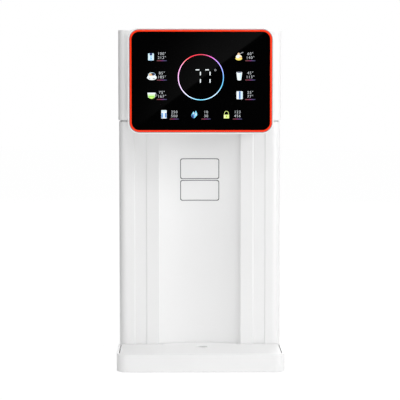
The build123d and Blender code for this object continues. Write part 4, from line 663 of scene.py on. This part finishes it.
def mug_layers():
    """A mug of green tea."""
    return (
        ("ink_grey", band_loop(5.0, 0.6, 1.5, 2.1, -124, 124)),
        ("ink_white", cup_loop(0.0, 0.5, 10.4, 8.6, 6.0, 1.6)),
        ("ink_mint", cup_loop(0.0, -0.4, 9.6, 8.2, 3.8, 1.8)),
        ("ink_green", cup_loop(0.0, -1.6, 8.6, 7.6, 2.0, 1.8)),
        ("ink_lime", oval_loop(0.0, -3.0, 2.6, 0.6)),
    )


def pot_layers():
    """A honey pot with a dipper."""
    return (
        ("ink_grey", stroke_loop((1.0, 3.4), (5.6, 5.6), 1.1)),
        ("ink_tan", oval_loop(-0.2, 2.8, 1.6, 2.0)),
        ("ink_yellow", oval_loop(0.0, -2.4, 4.2, 2.4)),
        ("ink_cream", oval_loop(0.0, -0.2, 3.8, 2.6)),
        ("ink_white", oval_loop(-1.0, 0.2, 2.0, 1.9)),
        ("ink_orange", oval_loop(1.9, -1.2, 1.5, 0.8)),
        ("ink_yellow", oval_loop(0.0, -3.4, 3.0, 1.2)),
    )


def tumbler_layers():
    """A tall white tumbler."""
    return (
        ("ink_white", cup_loop(0.0, 0.0, 7.4, 5.0, 10.0, 0.7)),
        ("ink_ice", cup_loop(1.5, -0.6, 1.6, 1.1, 7.4, 0.2)),
        ("ink_grey", oval_loop(0.0, 4.7, 3.4, 0.7)),
        ("ink_navy", oval_loop(0.0, 4.6, 2.7, 0.5)),
    )


def block_layers():
    """A white filter block with a blue stripe."""
    return (
        ("ink_white", box_loop(0.0, 0.0, 7.9, 10.1, 0.9)),
        ("ink_ice", box_loop(2.7, 0.0, 1.3, 8.8, 0.5)),
        ("ink_sky", box_loop(0.2, 0.0, 2.4, 9.8, 0.4)),
        ("ink_blue", box_loop(0.3, 0.3, 1.3, 8.8, 0.5)),
        ("ink_navy", box_loop(0.3, 1.0, 0.5, 5.6, 0.2)),
    )


def glass_layers():
    """A straight glass of water."""
    return (
        ("ink_white", box_loop(0.0, 0.0, 6.8, 10.6, 0.6)),
        ("ink_sky", box_loop(-2.1, -1.6, 2.2, 6.6, 0.4)),
        ("ink_sky", box_loop(2.1, -1.6, 2.2, 6.6, 0.4)),
        ("ink_blue", box_loop(2.4, -1.0, 0.9, 5.0, 0.3)),
        ("ink_blue", box_loop(-2.6, -2.6, 0.6, 3.6, 0.2)),
        ("ink_ice", box_loop(0.0, 4.2, 6.2, 1.2, 0.5)),
        ("ink_white", box_loop(0.0, -4.7, 5.8, 0.6, 0.2)),
    )


def drops_layers():
    """Two drops of water."""
    return (
        ("ink_cyan", drop_loop(-0.9, -0.8, 2.7, 8.4, -0.4)),
        ("ink_blue", oval_loop(-1.7, -2.4, 1.8, 2.4)),
        ("ink_navy", oval_loop(-2.1, -3.2, 1.0, 1.2)),
        ("ink_sky", oval_loop(-0.2, -2.2, 1.0, 1.4)),
        ("ink_cyan", drop_loop(1.5, 0.8, 1.9, 7.4, 0.3)),
        ("ink_blue", oval_loop(0.6, 0.9, 0.5, 1.7)),
        ("ink_white", oval_loop(1.9, -0.2, 0.7, 1.6)),
        ("ink_white", oval_loop(-0.8, 1.2, 0.5, 1.5)),
    )


def padlock_layers():
    """A closed padlock."""
    return (
        ("ink_lime", band_loop(0.0, 1.4, 2.25, 2.8, 0, 180)),
        ("ink_lime", box_loop(-2.52, 0.4, 0.55, 2.2)),
        ("ink_lime", box_loop(2.52, 0.4, 0.55, 2.2)),
        ("ink_lime", box_loop(0.0, -2.9, 6.8, 4.7, 0.5)),
        ("ink_cream", box_loop(-2.2, -2.9, 1.3, 3.9, 0.5)),
        ("ink_leaf", box_loop(0.0, -2.7, 1.4, 2.4, 0.6)),
    )


# Each sign's name, its inks and its place from the panel's middle, in millimetres
SIGNS = (
    ("jar_sign", jar_layers, -56.0, 27.3),
    ("cup_sign", cup_layers, -55.0, 5.3),
    ("mug_sign", mug_layers, -55.5, -16.2),
    ("pot_sign", pot_layers, 42.6, 27.3),
    ("tumbler_sign", tumbler_layers, 43.2, 5.6),
    ("block_sign", block_layers, 43.6, -16.0),
    ("glass_sign", glass_layers, -41.5, -37.4),
    ("drops_sign", drops_layers, -7.2, -37.3),
    ("padlock_sign", padlock_layers, 28.8, -37.4),
)
# Each key's two numbers, their place from the panel's middle and its line's width, in millimetres
KEYS = (
    ("100\u00b0", "212\u00b0", -43.8, 28.4, 11.4),
    ("85\u00b0", "185\u00b0", -43.8, 6.7, 11.4),
    ("75\u00b0", "167\u00b0", -43.8, -15.0, 11.4),
    ("60\u00b0", "140\u00b0", 55.6, 28.4, 11.4),
    ("45\u00b0", "113\u00b0", 55.6, 6.8, 11.4),
    ("25\u00b0", "77\u00b0", 55.6, -15.1, 11.4),
    ("250", "500", -29.9, -37.0, 10.4),
    ("10", "30", 5.8, -37.0, 10.4),
    ("123", "456", 41.2, -37.0, 10.4),
)


# Rows of the two numbers of a key above and below its middle, and their print, in millimetres
NUMBER_ROWS = (2.0, -2.4)
NUMBER_LIFT, NUMBER_DEPTH, NUMBER_SPREAD, NUMBER_CURVE_STEPS = 0.02, 0.02, 1.2, 4
# The line under a key's numbers: how far down, how thick and how round
LINE_DROP, LINE_THICK, LINE_ROUND = 5.7, 0.9, 0.3
# Brightness of the lines and of the ring, as shares of the signs' glow
LINE_GLOW, RING_GLOW = 0.4, 1.6


def text_into(build, text, size, place):
    """Flat numbers, set into a mesh at a place."""
    curve = bpy.data.curves.new("numbers", "FONT")
    curve.body = text
    curve.size = size
    curve.resolution_u = NUMBER_CURVE_STEPS
    curve.align_x = "CENTER"
    curve.align_y = "CENTER"
    curve.space_character = NUMBER_SPREAD
    curve.extrude = NUMBER_DEPTH * MM
    holder = bpy.data.objects.new("numbers", curve)
    bpy.context.scene.collection.objects.link(holder)
    bpy.context.view_layer.update()
    scene_now = bpy.context.evaluated_depsgraph_get()
    mesh = bpy.data.meshes.new_from_object(holder.evaluated_get(scene_now))
    mesh.transform(place)
    build.from_mesh(mesh)
    bpy.data.objects.remove(holder)
    bpy.data.curves.remove(curve)
    bpy.data.meshes.remove(mesh)


def upright(x, y, z, turn=0.0):
    """Stands a flat drawing up so that it faces the front, or turned about the vertical."""
    stand = Matrix.Rotation(turn, 4, "Z") @ Matrix.Rotation(math.pi / 2, 4, "X")
    return Matrix.Translation((x, y, z)) @ stand


class DISPENSER_OT_finishes(bpy.types.Operator):
    """Give every solid of the dispenser its own procedural finish"""

    bl_idname = "dispenser.finishes"
    bl_label = "Finishes of the solids"

    def execute(self, context):
        shell = context.scene.dispenser_shell
        made = {}
        for part in frame["record"]["subparts"]:
            slot = part["material_slot"]
            if slot not in made:
                made[slot] = finish_for(slot, shell)
            solid = frame["nodes"][part["node"]]
            solid.data.materials.clear()
            solid.data.materials.append(made[slot])
        frame["nodes"]["water_tank"].visible_shadow = False
        return {"FINISHED"}


class DISPENSER_OT_signs(bpy.types.Operator):
    """Lay the nine lit signs on the glass"""

    bl_idname = "dispenser.signs"
    bl_label = "Lit signs"

    def execute(self, context):
        scale = context.scene.dispenser_panel.sign_scale
        for name, layers, x, rise in SIGNS:
            sign(name, layers(), *on_panel(x, rise), scale)
        return {"FINISHED"}


class DISPENSER_OT_key_numbers(bpy.types.Operator):
    """Put two plain numbers beside each sign"""

    bl_idname = "dispenser.key_numbers"
    bl_label = "Key numbers"

    def execute(self, context):
        size = context.scene.dispenser_panel.number_height
        build = bmesh.new()
        for upper, lower, x, rise, _ in KEYS:
            for text, offset in zip((upper, lower), NUMBER_ROWS):
                place = upright(x * MM, PANEL_FRONT - NUMBER_LIFT * MM, PANEL_Z + (rise + offset) * MM)
                text_into(build, text, size, place)
        new_piece("key_numbers", build, [sign_ink("ink_number")], "casing")
        return {"FINISHED"}


class DISPENSER_OT_key_lines(bpy.types.Operator):
    """Put a coloured line under the numbers of each key"""

    bl_idname = "dispenser.key_lines"
    bl_label = "Key lines"

    def execute(self, context):
        glow = context.scene.dispenser_panel.glow * LINE_GLOW
        build = bmesh.new()
        run = build.loops.layers.uv.new("run")
        for *_, x, rise, width in KEYS:
            loop = box_loop(*on_panel(x, rise - LINE_DROP), width, LINE_THICK, LINE_ROUND)
            for face in add_layer(build, loop, PANEL_FRONT, INK_BASE):
                for corner in face.loops:
                    corner[run].uv = ((corner.vert.co.x / MM - x) / width + 0.5, 0.5)
        new_piece("key_lines", build, [line_light("line_light", glow)], "casing")
        return {"FINISHED"}


# The ring's section: shares of its stroke inwards, and height over the glass in millimetres
RING_PROFILE = ((1.0, 0.0), (0.75, 0.05), (0.25, 0.05), (0.0, 0.0))
RING_STEPS = 128


class DISPENSER_OT_ring(bpy.types.Operator):
    """Draw the coloured ring round the readout"""

    bl_idname = "dispenser.ring"
    bl_label = "Ring"

    def execute(self, context):
        look = context.scene.dispenser_panel
        build = bmesh.new()
        rows = []
        for inwards, lift in RING_PROFILE:
            radius = (look.ring_radius - look.ring_stroke * inwards) / MM
            loop = oval_loop(0.0, RING_Z / MM, radius, radius, RING_STEPS)
            rows.append(row_at(build, loop, PANEL_FRONT - lift * MM))
        join_rows(build, rows)
        finish = ring_light("ring_light", look.glow * RING_GLOW)
        new_piece("ring_sign", build, [finish], "casing")
        return {"FINISHED"}


# A seven-bar digit and the degree sign after it, in millimetres
SEGMENTS = {"7": "abc", "0": "abcdef", "1": "bc", "2": "abged", "3": "abgcd", "4": "fgbc",
            "5": "afgcd", "6": "afgedc", "8": "abcdefg", "9": "abcdfg"}
DIGIT_PLACES = (-3.8, 7.0)
DIGIT_HALF, DIGIT_RISE = 3.3, 8.3
BAR_THICK, BAR_ACROSS, BAR_UP, BAR_ROUND, BAR_STEPS = 1.15, 4.4, 4.2, 0.5, 4
DEGREE_X, DEGREE_RISE, DEGREE_RADII, DEGREE_TURN = 16.3, 8.0, (0.6, 1.2), (0, 359)


def segment_loop(letter, x, z):
    """One bar of a seven-bar digit whose middle is at x, z, in millimetres."""
    levels = {"a": 1, "g": 0, "d": -1}
    if letter in levels:
        return box_loop(x, z + levels[letter] * DIGIT_RISE, BAR_ACROSS, BAR_THICK, BAR_ROUND, BAR_STEPS)
    side, half = {"b": (1, 1), "c": (1, -1), "f": (-1, 1), "e": (-1, -1)}[letter]
    middle = (x + side * DIGIT_HALF, z + half * DIGIT_RISE / 2)
    return box_loop(*middle, BAR_THICK, BAR_UP, BAR_ROUND, BAR_STEPS)


class DISPENSER_OT_readout(bpy.types.Operator):
    """Draw the two digits inside the ring and the small degree ring after them"""

    bl_idname = "dispenser.readout"
    bl_label = "Readout"

    def execute(self, context):
        z = RING_Z / MM
        layers = []
        for digit, x in zip(context.scene.dispenser_panel.readout, DIGIT_PLACES):
            for letter in SEGMENTS[digit]:
                layers.append(("ink_white", segment_loop(letter, x, z)))
        degree = band_loop(DEGREE_X, z + DEGREE_RISE, *DEGREE_RADII, *DEGREE_TURN)
        sign("readout_sign", [*layers, ("ink_grey", degree)])
        return {"FINISHED"}


# The trim ring's corner, and the section of the grey strip of painted shadow round it: outwards from the ring and
# over the rim, in millimetres
TRIM_CORNER = 10.85
SHADOW_LINE_PROFILE = ((0.02, -0.3), (0.05, 0.3), (0.4, 0.26), (0.65, 0.02))
SHADOW_LINE_STEPS = 14


class DISPENSER_OT_trim_shadow_line(bpy.types.Operator):
    """Run a fine grey strip of painted shadow round the trim ring, for the shaded gap beside it"""

    bl_idname = "dispenser.trim_seal"
    bl_label = "Trim seal"

    def execute(self, context):
        low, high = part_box("trim_ring")
        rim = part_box("head_housing")[0].y
        width, height = (high.x - low.x) / MM, (high.z - low.z) / MM
        z = (low.z + high.z) / 2 / MM
        build = bmesh.new()
        rows = []
        for grow, lift in SHADOW_LINE_PROFILE:
            size = (width + 2 * grow, height + 2 * grow)
            loop = box_loop(0.0, z, *size, TRIM_CORNER + grow, SHADOW_LINE_STEPS)
            rows.append(row_at(build, loop, rim - lift * MM))
        join_rows(build, rows)
        # Painted shadow: this grey strip stands in for the shade that falls in the gap between the trim ring and
        # the rim
        finish = soft("seal_grey", tint(142, 143, 145), 0.6)
        new_piece("trim_seal", build, [finish], "casing")
        return {"FINISHED"}


# The niche's wall across the front cover, and the two plates on it, in millimetres
NICHE_HALF, NICHE_LIP, NICHE_DEPTH = 47.5, 3.0, 14.0
PLATE_HEIGHTS = {"upper_niche_plate": 227.8, "lower_niche_plate": 202.2}
PLATE_LINE_LIFT, PLATE_SKIN_LIFT = 0.12, 0.08
PLATE_CORNER_STEPS, PLATE_STEP, PLATE_COLUMNS = 7, 3.0, 16


def niche_depth(x):
    """How far the niche's wall lies behind the columns at a place across it, in millimetres."""
    rise = NICHE_DEPTH - NICHE_LIP
    radius = (NICHE_HALF**2 + rise**2) / (2 * rise)
    return NICHE_DEPTH - radius + math.sqrt(radius**2 - x**2)


def niche_spot(x, z, lift):
    """A point on the niche's wall, lifted off it, in metres."""
    return (x * MM, COVER_FRONT + (niche_depth(x) - lift) * MM, z * MM)


def fine_loop(loop, step):
    """The same outline with points added along its long edges."""
    points = []
    for start, end in zip(loop, loop[1:] + loop[:1]):
        parts = max(1, math.ceil(math.dist(start, end) / step))
        for n in range(parts):
            points.append(tuple(a + (b - a) * n / parts for a, b in zip(start, end)))
    return points


def plate_skin(build, z, half_width, half_height, corner):
    """The face of a plate in upright strips that follow the niche's wall, with rounded corners."""
    pairs = []
    for n in range(PLATE_COLUMNS + 1):
        x = -half_width + 2 * half_width * n / PLATE_COLUMNS
        inset = max(0.0, corner - (half_width - abs(x)))
        up = half_height - corner + math.sqrt(max(0.0, corner**2 - inset**2))
        pairs.append([build.verts.new(niche_spot(x, z + level, PLATE_SKIN_LIFT)) for level in (-up, up)])
    for left, right in zip(pairs, pairs[1:]):
        face = build.faces.new((left[0], right[0], right[1], left[1]))
        face.material_index = 1
        face.smooth = True


class DISPENSER_OT_niche_plates(bpy.types.Operator):
    """Set the two bare plates into the niche, each with a fine grey line round it"""

    bl_idname = "dispenser.niche_plates"
    bl_label = "Niche plates"

    def execute(self, context):
        look = context.scene.dispenser_niche
        width, height = look.width / MM, look.height / MM
        line, radius = look.line / MM, look.radius / MM
        edge = moulded("plate_line", tint(104, 105, 107), 0.5)
        skin = frame["nodes"]["front_cover"].data.materials[0]
        for name, z in PLATE_HEIGHTS.items():
            build = bmesh.new()
            outer = fine_loop(box_loop(0.0, z, width, height, radius, PLATE_CORNER_STEPS), PLATE_STEP)
            inner = [(x * (1 - 2 * line / width), z + (y - z) * (1 - 2 * line / height)) for x, y in outer]
            section = (
                (outer, 0.0), (outer, PLATE_LINE_LIFT), (inner, PLATE_LINE_LIFT), (inner, PLATE_SKIN_LIFT))
            rows = []
            for loop, lift in section:
                rows.append([build.verts.new(niche_spot(x, y, lift)) for x, y in loop])
            join_rows(build, rows)
            plate_skin(build, z, width / 2 - line, height / 2 - line, radius - line)
            new_piece(name, build, [edge, skin], "casing")
        return {"FINISHED"}


# A screw's head and its cross slot, in millimetres
SCREW_RADIUS = 3.2
SLOT_REACH, SLOT_HALF, SLOT_LIFT, SLOT_TAPER = 1.9, 0.42, 0.06, 0.8


def cross_into(build, place):
    """The cross slot of one screw, as a dark plus with sloping sides laid on its head."""
    quarter = ((SLOT_HALF, SLOT_HALF), (SLOT_HALF, SLOT_REACH), (-SLOT_HALF, SLOT_REACH))
    outline = []
    for turn in range(4):
        around = place @ Matrix.Rotation(turn * math.pi / 2, 4, "Z")
        outline.extend((around, x * MM, y * MM) for x, y in quarter)
    foot = [build.verts.new(around @ Vector((x, y, 0.0))) for around, x, y in outline]
    top = []
    for around, x, y in outline:
        top.append(build.verts.new(around @ Vector((x * SLOT_TAPER, y * SLOT_TAPER, SLOT_LIFT * MM))))
    build.faces.new(top)
    join_rows(build, [foot, top])


class DISPENSER_OT_screw_slots(bpy.types.Operator):
    """Mark the cross slots of the case and base screws"""

    bl_idname = "dispenser.screw_slots"
    bl_label = "Screw slots"

    def execute(self, context):
        build = bmesh.new()
        edge = SCREW_RADIUS * MM
        low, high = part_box("case_screws")
        backwards = Matrix.Rotation(-math.pi / 2, 4, "X")
        for x in (low.x + edge, high.x - edge):
            for z in (low.z + edge, high.z - edge):
                cross_into(build, Matrix.Translation((x, high.y, z)) @ backwards)
        low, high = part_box("base_screws")
        downwards = Matrix.Rotation(math.pi, 4, "X")
        for x in (low.x + edge, high.x - edge):
            for y in (low.y + edge, high.y - edge):
                cross_into(build, Matrix.Translation((x, y, low.z)) @ downwards)
        dark = plated("slot_shadow", tint(38, 38, 40), 0.6, (1.0, 1.0, 1.0))
        new_piece("screw_slots", build, [dark], "casing")
        return {"FINISHED"}


# Litre marks on the back of the tank, in millimetres
TANK_FLOOR = 2.4
HALF_LITRES = range(1, 7)
MARK_X, MARK_LONG, MARK_SHORT, MARK_THICK, MARK_ROUND, MARK_PRINT = 50.0, 14.0, 8.0, 1.3, 0.5, 0.05
LITRE_X, LITRE_SIZE, LITRE_LIFT = 36.0, 12.0, 0.03


class DISPENSER_OT_tank_marks(bpy.types.Operator):
    """Print the litre marks on the tank"""

    bl_idname = "dispenser.tank_marks"
    bl_label = "Tank marks"

    def execute(self, context):
        litre = context.scene.dispenser_tank.litre
        back = TANK_HIGH.y
        build = bmesh.new()
        for halves in HALF_LITRES:
            whole = halves % 2 == 0
            z = TANK_LOW.z + TANK_FLOOR * MM + litre * halves / 2
            width = MARK_LONG if whole else MARK_SHORT
            add_layer(build, box_loop(MARK_X, z / MM, width, MARK_THICK, MARK_ROUND), back, -MARK_PRINT * MM)
            if whole:
                place = upright(LITRE_X * MM, back + LITRE_LIFT * MM, z, math.pi)
                text_into(build, str(halves // 2), LITRE_SIZE * MM, place)
        print_grey = moulded("mark_print", tint(66, 72, 80), 0.45)
        new_piece("tank_marks", build, [print_grey], "tank")
        return {"FINISHED"}


# Finger grips on both sides of the tank, in millimetres
GRIP_DROP, GRIP_PITCH = 34.0, 5.0
RIB_HALF_LENGTH, RIB_OUT, RIB_HALF_HEIGHT, RIB_LEAST = 17.0, 0.9, 1.3, 0.15
RIB_SECTIONS, RIB_STEPS = 8, 6


def rib_into(build, side, z):
    """One rounded grip rib on a side of the tank, fading out at both ends."""
    face = side * TANK_HIGH.x
    middle = (TANK_LOW.y + TANK_HIGH.y) / 2
    rows = []
    for section in range(RIB_SECTIONS + 1):
        share = 2 * section / RIB_SECTIONS - 1
        swell = math.sqrt(max(0.0, 1 - share**4))
        y = middle + share * RIB_HALF_LENGTH * MM
        row = []
        for step in range(RIB_STEPS + 1):
            angle = math.pi * step / RIB_STEPS
            out = side * RIB_OUT * MM * swell * math.sin(angle)
            up = RIB_HALF_HEIGHT * MM * max(swell, RIB_LEAST) * math.cos(angle)
            row.append(build.verts.new((face + out, y, z + up)))
        rows.append(row)
    for first, second in zip(rows, rows[1:]):
        for step in range(RIB_STEPS):
            build.faces.new((first[step], first[step + 1], second[step + 1], second[step]))


class DISPENSER_OT_tank_grips(bpy.types.Operator):
    """Raise the finger grips on both sides of the tank"""

    bl_idname = "dispenser.tank_grips"
    bl_label = "Tank grips"

    def execute(self, context):
        build = bmesh.new()
        for side in (-1, 1):
            for rib in range(context.scene.dispenser_tank.grips):
                rib_into(build, side, TANK_HIGH.z - (GRIP_DROP + rib * GRIP_PITCH) * MM)
        clear_plastic = frame["nodes"]["water_tank"].data.materials[0]
        new_piece("tank_grips", build, [clear_plastic], "tank")
        return {"FINISHED"}


# The rocker at rest, in degrees and millimetres: its tilt, the fall of each half and the marks on them
ROCKER_TILT = -10.0
ROCKER_FALL, ROCKER_HALF = 1.6, 7.0
ROCKER_MARK_X, ROCKER_MARK_Y, ROCKER_MARK_LIFT = 3.5, 2.4, 0.04
ROCKER_BAR = (0.6, 3.0, 0.2)
ROCKER_RING = (1.0, 1.5)


class DISPENSER_OT_switch_marks(bpy.types.Operator):
    """Print the bar and the ring on the power switch"""

    bl_idname = "dispenser.switch_marks"
    bl_label = "Switch marks"

    def execute(self, context):
        pivot = next(joint for joint in frame["joints"] if joint["name"] == "switch_rock")["pos_m"]
        rocker = Matrix.Translation(pivot) @ Matrix.Rotation(math.radians(ROCKER_TILT), 4, "Z")
        slope = math.atan2(ROCKER_FALL, ROCKER_HALF)
        bar = [box_loop(0.0, 0.0, *ROCKER_BAR)]
        ring = [oval_loop(0.0, 0.0, radius, radius) for radius in ROCKER_RING]
        build = bmesh.new()
        for side, loops in ((-1, bar), (1, ring)):
            spot = (side * ROCKER_MARK_X * MM, ROCKER_MARK_Y * MM, 0.0)
            face = rocker @ Matrix.Translation(spot) @ Matrix.Rotation(side * slope, 4, "Z")
            rows = []
            for loop in loops:
                points = [Vector((x * MM, ROCKER_MARK_LIFT * MM, z * MM)) for x, z in loop]
                rows.append([build.verts.new(face @ point) for point in points])
            if len(rows) == 1:
                build.faces.new(rows[0])
            join_rows(build, rows)
        finish = moulded("mark_white", tint(232, 232, 230), 0.5)
        new_piece("switch_marks", build, [finish], "rocker")
        return {"FINISHED"}


# The white floor: half its size in metres, and how bright and how large a share of it is plain white
FLOOR_HALF, FLOOR_WHITE, FLOOR_SHARE = 6.0, 1.04, 0.93
# Cards behind the camera that only the glass mirrors, as outlines across and up, in metres
DARK_BEHIND, DARK_OUTLINE = 0.6, ((-0.9, -0.2), (0.9, -0.2), (0.9, 1.2), (-0.9, 1.2))
GLARE_EDGE = ((-0.0459, 0.2753), (0.1974, 0.455))
GLARE_OUTLINE = ((-0.9, 0.006), (-0.411, 0.006), *GLARE_EDGE, (0.489, 0.671), (0.3, 1.1), (-0.9, 1.1))
GLARE_BEHIND, GLARE_STRENGTH = 0.55, 0.14
# How far the glare reaches from its edge, where it begins left of the middle and how soon it is full
GLARE_REACH, GLARE_LEFT, GLARE_RUN = 0.15, 0.14, 0.18
# A black flag on the left, as an outline along y and z, in metres
FLAG_X, FLAG_OUTLINE = -0.4, ((-0.12, 0.0), (0.7, 0.0), (0.7, 0.9), (-0.12, 0.9))
# The camera's sensor, in millimetres
SENSOR_WIDTH = 36.0
# Each lamp's name, the setting with its power, its place and its size, in metres
LAMP_TARGET = (0.0, COVER_FRONT, 0.2)
LAMPS = (
    ("key_lamp", "key", (1.5, -1.3, 0.7), (1.0, 1.5)),
    ("side_lamp", "fill", (-1.5, -1.2, 0.6), (0.8, 0.8)),
    ("front_lamp", "front", (0.0, -1.9, 1.7), (1.2, 0.8)),
    ("top_lamp", "top", (0.0, -0.5, 1.8), (1.0, 1.0)),
    ("back_lamp", "back", (0.3, 2.2, 1.1), (1.2, 0.8)),
)


def floor_finish():
    """White floor: paper that stays white to the camera and still takes the shadow."""
    finish = Finish("studio_floor")
    fibre = finish.noise(300.0, 3.0)
    finish.shade(Base_Color=finish.between(fibre, (0.86, 0.86, 0.86), (0.9, 0.9, 0.9)), Roughness=0.9)
    paper = Wire(finish, finish.shader.outputs[0])
    white = finish.add("ShaderNodeEmission", {}, {"Strength": FLOOR_WHITE})
    share = (finish.ray("Camera") + finish.ray("Glossy") + finish.ray("Transmission")) * FLOOR_SHARE
    mixed = finish.add("ShaderNodeMixShader", {}, {0: share, 1: paper, 2: white})
    finish.connect(finish.tree.nodes["Material Output"].inputs["Surface"], mixed)
    return finish.material


def black_finish(name):
    """A dull black card."""
    return Finish(name).shade(Base_Color=BLACK, Roughness=1.0)


def glare_finish(name):
    """A card that shines along its slanting edge and fades out away from it and to the left."""
    finish = Finish(name)
    start, end = (Vector(point) for point in GLARE_EDGE)
    along = (end - start).normalized()
    reach = (finish.axis("Z") - start.y) * along.x - (finish.axis("X") - start.x) * along.y
    fade = finish.add("ShaderNodeClamp", {}, {"Value": 1.0 - reach / GLARE_REACH})
    side = finish.add("ShaderNodeClamp", {}, {"Value": (finish.axis("X") + GLARE_LEFT) / GLARE_RUN})
    return finish.shade(
        Base_Color=BLACK,
        Roughness=1.0,
        Emission_Color=finish.between(fade * side, BLACK, WHITE),
        Emission_Strength=GLARE_STRENGTH,
    )


def stage_sheet(name, corners, material, unseen_by=()):
    """A flat stage piece through its corners, which some kinds of ray pass by."""
    build = bmesh.new()
    build.faces.new([build.verts.new(corner) for corner in corners])
    sheet = new_object(name, build, [material])
    for ray in unseen_by:
        setattr(sheet, f"visible_{ray}", False)


def stage_floor():
    """The white floor."""
    half = FLOOR_HALF
    corners = ((-half, -half, 0.0), (half, -half, 0.0), (half, half, 0.0), (-half, half, 0.0))
    stage_sheet("floor", corners, floor_finish())


def stage_cards(eye):
    """Cards behind a camera at a depth, which the glass mirrors, and a flag that shades the left side."""
    black = black_finish("black_card")
    unseen_by = ("camera", "diffuse", "transmission", "shadow")
    dark = [(x, eye - DARK_BEHIND, z) for x, z in DARK_OUTLINE]
    stage_sheet("dark_card", dark, black, unseen_by)
    glare = [(x, eye - GLARE_BEHIND, z) for x, z in GLARE_OUTLINE]
    stage_sheet("glare_card", glare, glare_finish("glare_card"), unseen_by)
    flag = [(FLAG_X, y, z) for y, z in FLAG_OUTLINE]
    stage_sheet("left_flag", flag, black, ("camera", "transmission"))


def studio_world(room):
    """Even light all round, and plain white where the camera, a mirror or clear plastic shows it."""
    world = bpy.data.worlds.new("studio")
    world.use_nodes = True
    sky = Nodes(world.node_tree)
    sky.tree.nodes.remove(sky.tree.nodes["Background"])
    light = sky.add("ShaderNodeBackground", {}, {"Color": WHITE, "Strength": room})
    white = sky.add("ShaderNodeBackground", {}, {"Color": WHITE, "Strength": 1.0})
    mirrored = sky.maths("MAXIMUM", sky.ray("Glossy"), sky.ray("Transmission"))
    seen = sky.maths("MAXIMUM", sky.ray("Camera"), mirrored)
    mixed = sky.add("ShaderNodeMixShader", {}, {0: seen, 1: light, 2: white})
    sky.connect(sky.tree.nodes["World Output"].inputs["Surface"], mixed)
    return world


def aimed(name, data, place, target):
    """A lamp or camera that stands at a place and looks at a point."""
    holder = bpy.data.objects.new(name, data)
    holder.location = place
    holder.rotation_euler = (Vector(target) - Vector(place)).to_track_quat("-Z", "Y").to_euler()
    bpy.context.scene.collection.objects.link(holder)
    return holder


def lamp(name, place, size, power):
    """A large soft lamp aimed at the columns."""
    light = bpy.data.lights.new(name, "AREA")
    light.shape = "RECTANGLE"
    light.size, light.size_y = size
    light.energy = power
    aimed(name, light, place, LAMP_TARGET)


class DISPENSER_OT_stage(bpy.types.Operator):
    """Set up the white studio, its lamps and the camera"""

    bl_idname = "dispenser.stage"
    bl_label = "Studio"

    def execute(self, context):
        scene = context.scene
        look = scene.dispenser_studio
        eye = COVER_FRONT - look.distance
        scene.view_settings.view_transform = "Standard"
        stage_floor()
        stage_cards(eye)
        scene.world = studio_world(look.room)
        for name, setting, place, size in LAMPS:
            lamp(name, place, size, getattr(look, setting))
        camera = bpy.data.cameras.new("camera")
        camera.lens = look.lens
        camera.sensor_width = SENSOR_WIDTH
        target = (look.swing, COVER_FRONT, look.target)
        scene.camera = aimed("camera", camera, (-look.aside, eye, look.height), target)
        return {"FINISHED"}


STEPS = (
    DISPENSER_OT_finishes, DISPENSER_OT_signs, DISPENSER_OT_key_numbers, DISPENSER_OT_key_lines,
    DISPENSER_OT_ring, DISPENSER_OT_readout, DISPENSER_OT_trim_shadow_line, DISPENSER_OT_niche_plates,
    DISPENSER_OT_screw_slots, DISPENSER_OT_tank_marks, DISPENSER_OT_tank_grips, DISPENSER_OT_switch_marks,
    DISPENSER_OT_stage,
)
LOOKS = (
    ("dispenser_shell", ShellLook), ("dispenser_panel", PanelLook), ("dispenser_niche", NicheLook),
    ("dispenser_tank", TankLook), ("dispenser_studio", StudioLook),
)


class DISPENSER_PT_sidebar(bpy.types.Panel):
    """Lists the dispenser's steps and settings"""

    bl_idname = "DISPENSER_PT_sidebar"
    bl_label = "Hot water dispenser"
    bl_space_type = "VIEW_3D"
    bl_region_type = "UI"
    bl_category = "Dispenser"

    def draw(self, context):
        for name, look in LOOKS:
            box = self.layout.box()
            for setting in look.__annotations__:
                box.prop(getattr(context.scene, name), setting)
        for step in STEPS:
            self.layout.operator(step.bl_idname)


def register():
    """Register the settings, the steps and the sidebar."""
    for name, look in LOOKS:
        bpy.utils.register_class(look)
        setattr(bpy.types.Scene, name, PointerProperty(type=look))
    for step in STEPS:
        bpy.utils.register_class(step)
    bpy.utils.register_class(DISPENSER_PT_sidebar)


def unregister():
    """Take everything back out."""
    bpy.utils.unregister_class(DISPENSER_PT_sidebar)
    for step in reversed(STEPS):
        bpy.utils.unregister_class(step)
    for name, look in reversed(LOOKS):
        delattr(bpy.types.Scene, name)
        bpy.utils.unregister_class(look)


def main():
    """Dress the dispenser and set up the studio."""
    register()
    bpy.ops.dispenser.finishes()
    bpy.ops.dispenser.signs()
    bpy.ops.dispenser.key_numbers()
    bpy.ops.dispenser.key_lines()
    bpy.ops.dispenser.ring()
    bpy.ops.dispenser.readout()
    bpy.ops.dispenser.trim_seal()
    bpy.ops.dispenser.niche_plates()
    bpy.ops.dispenser.screw_slots()
    bpy.ops.dispenser.tank_marks()
    bpy.ops.dispenser.tank_grips()
    bpy.ops.dispenser.switch_marks()
    bpy.ops.dispenser.stage()


if __name__ == "__main__":
    main()
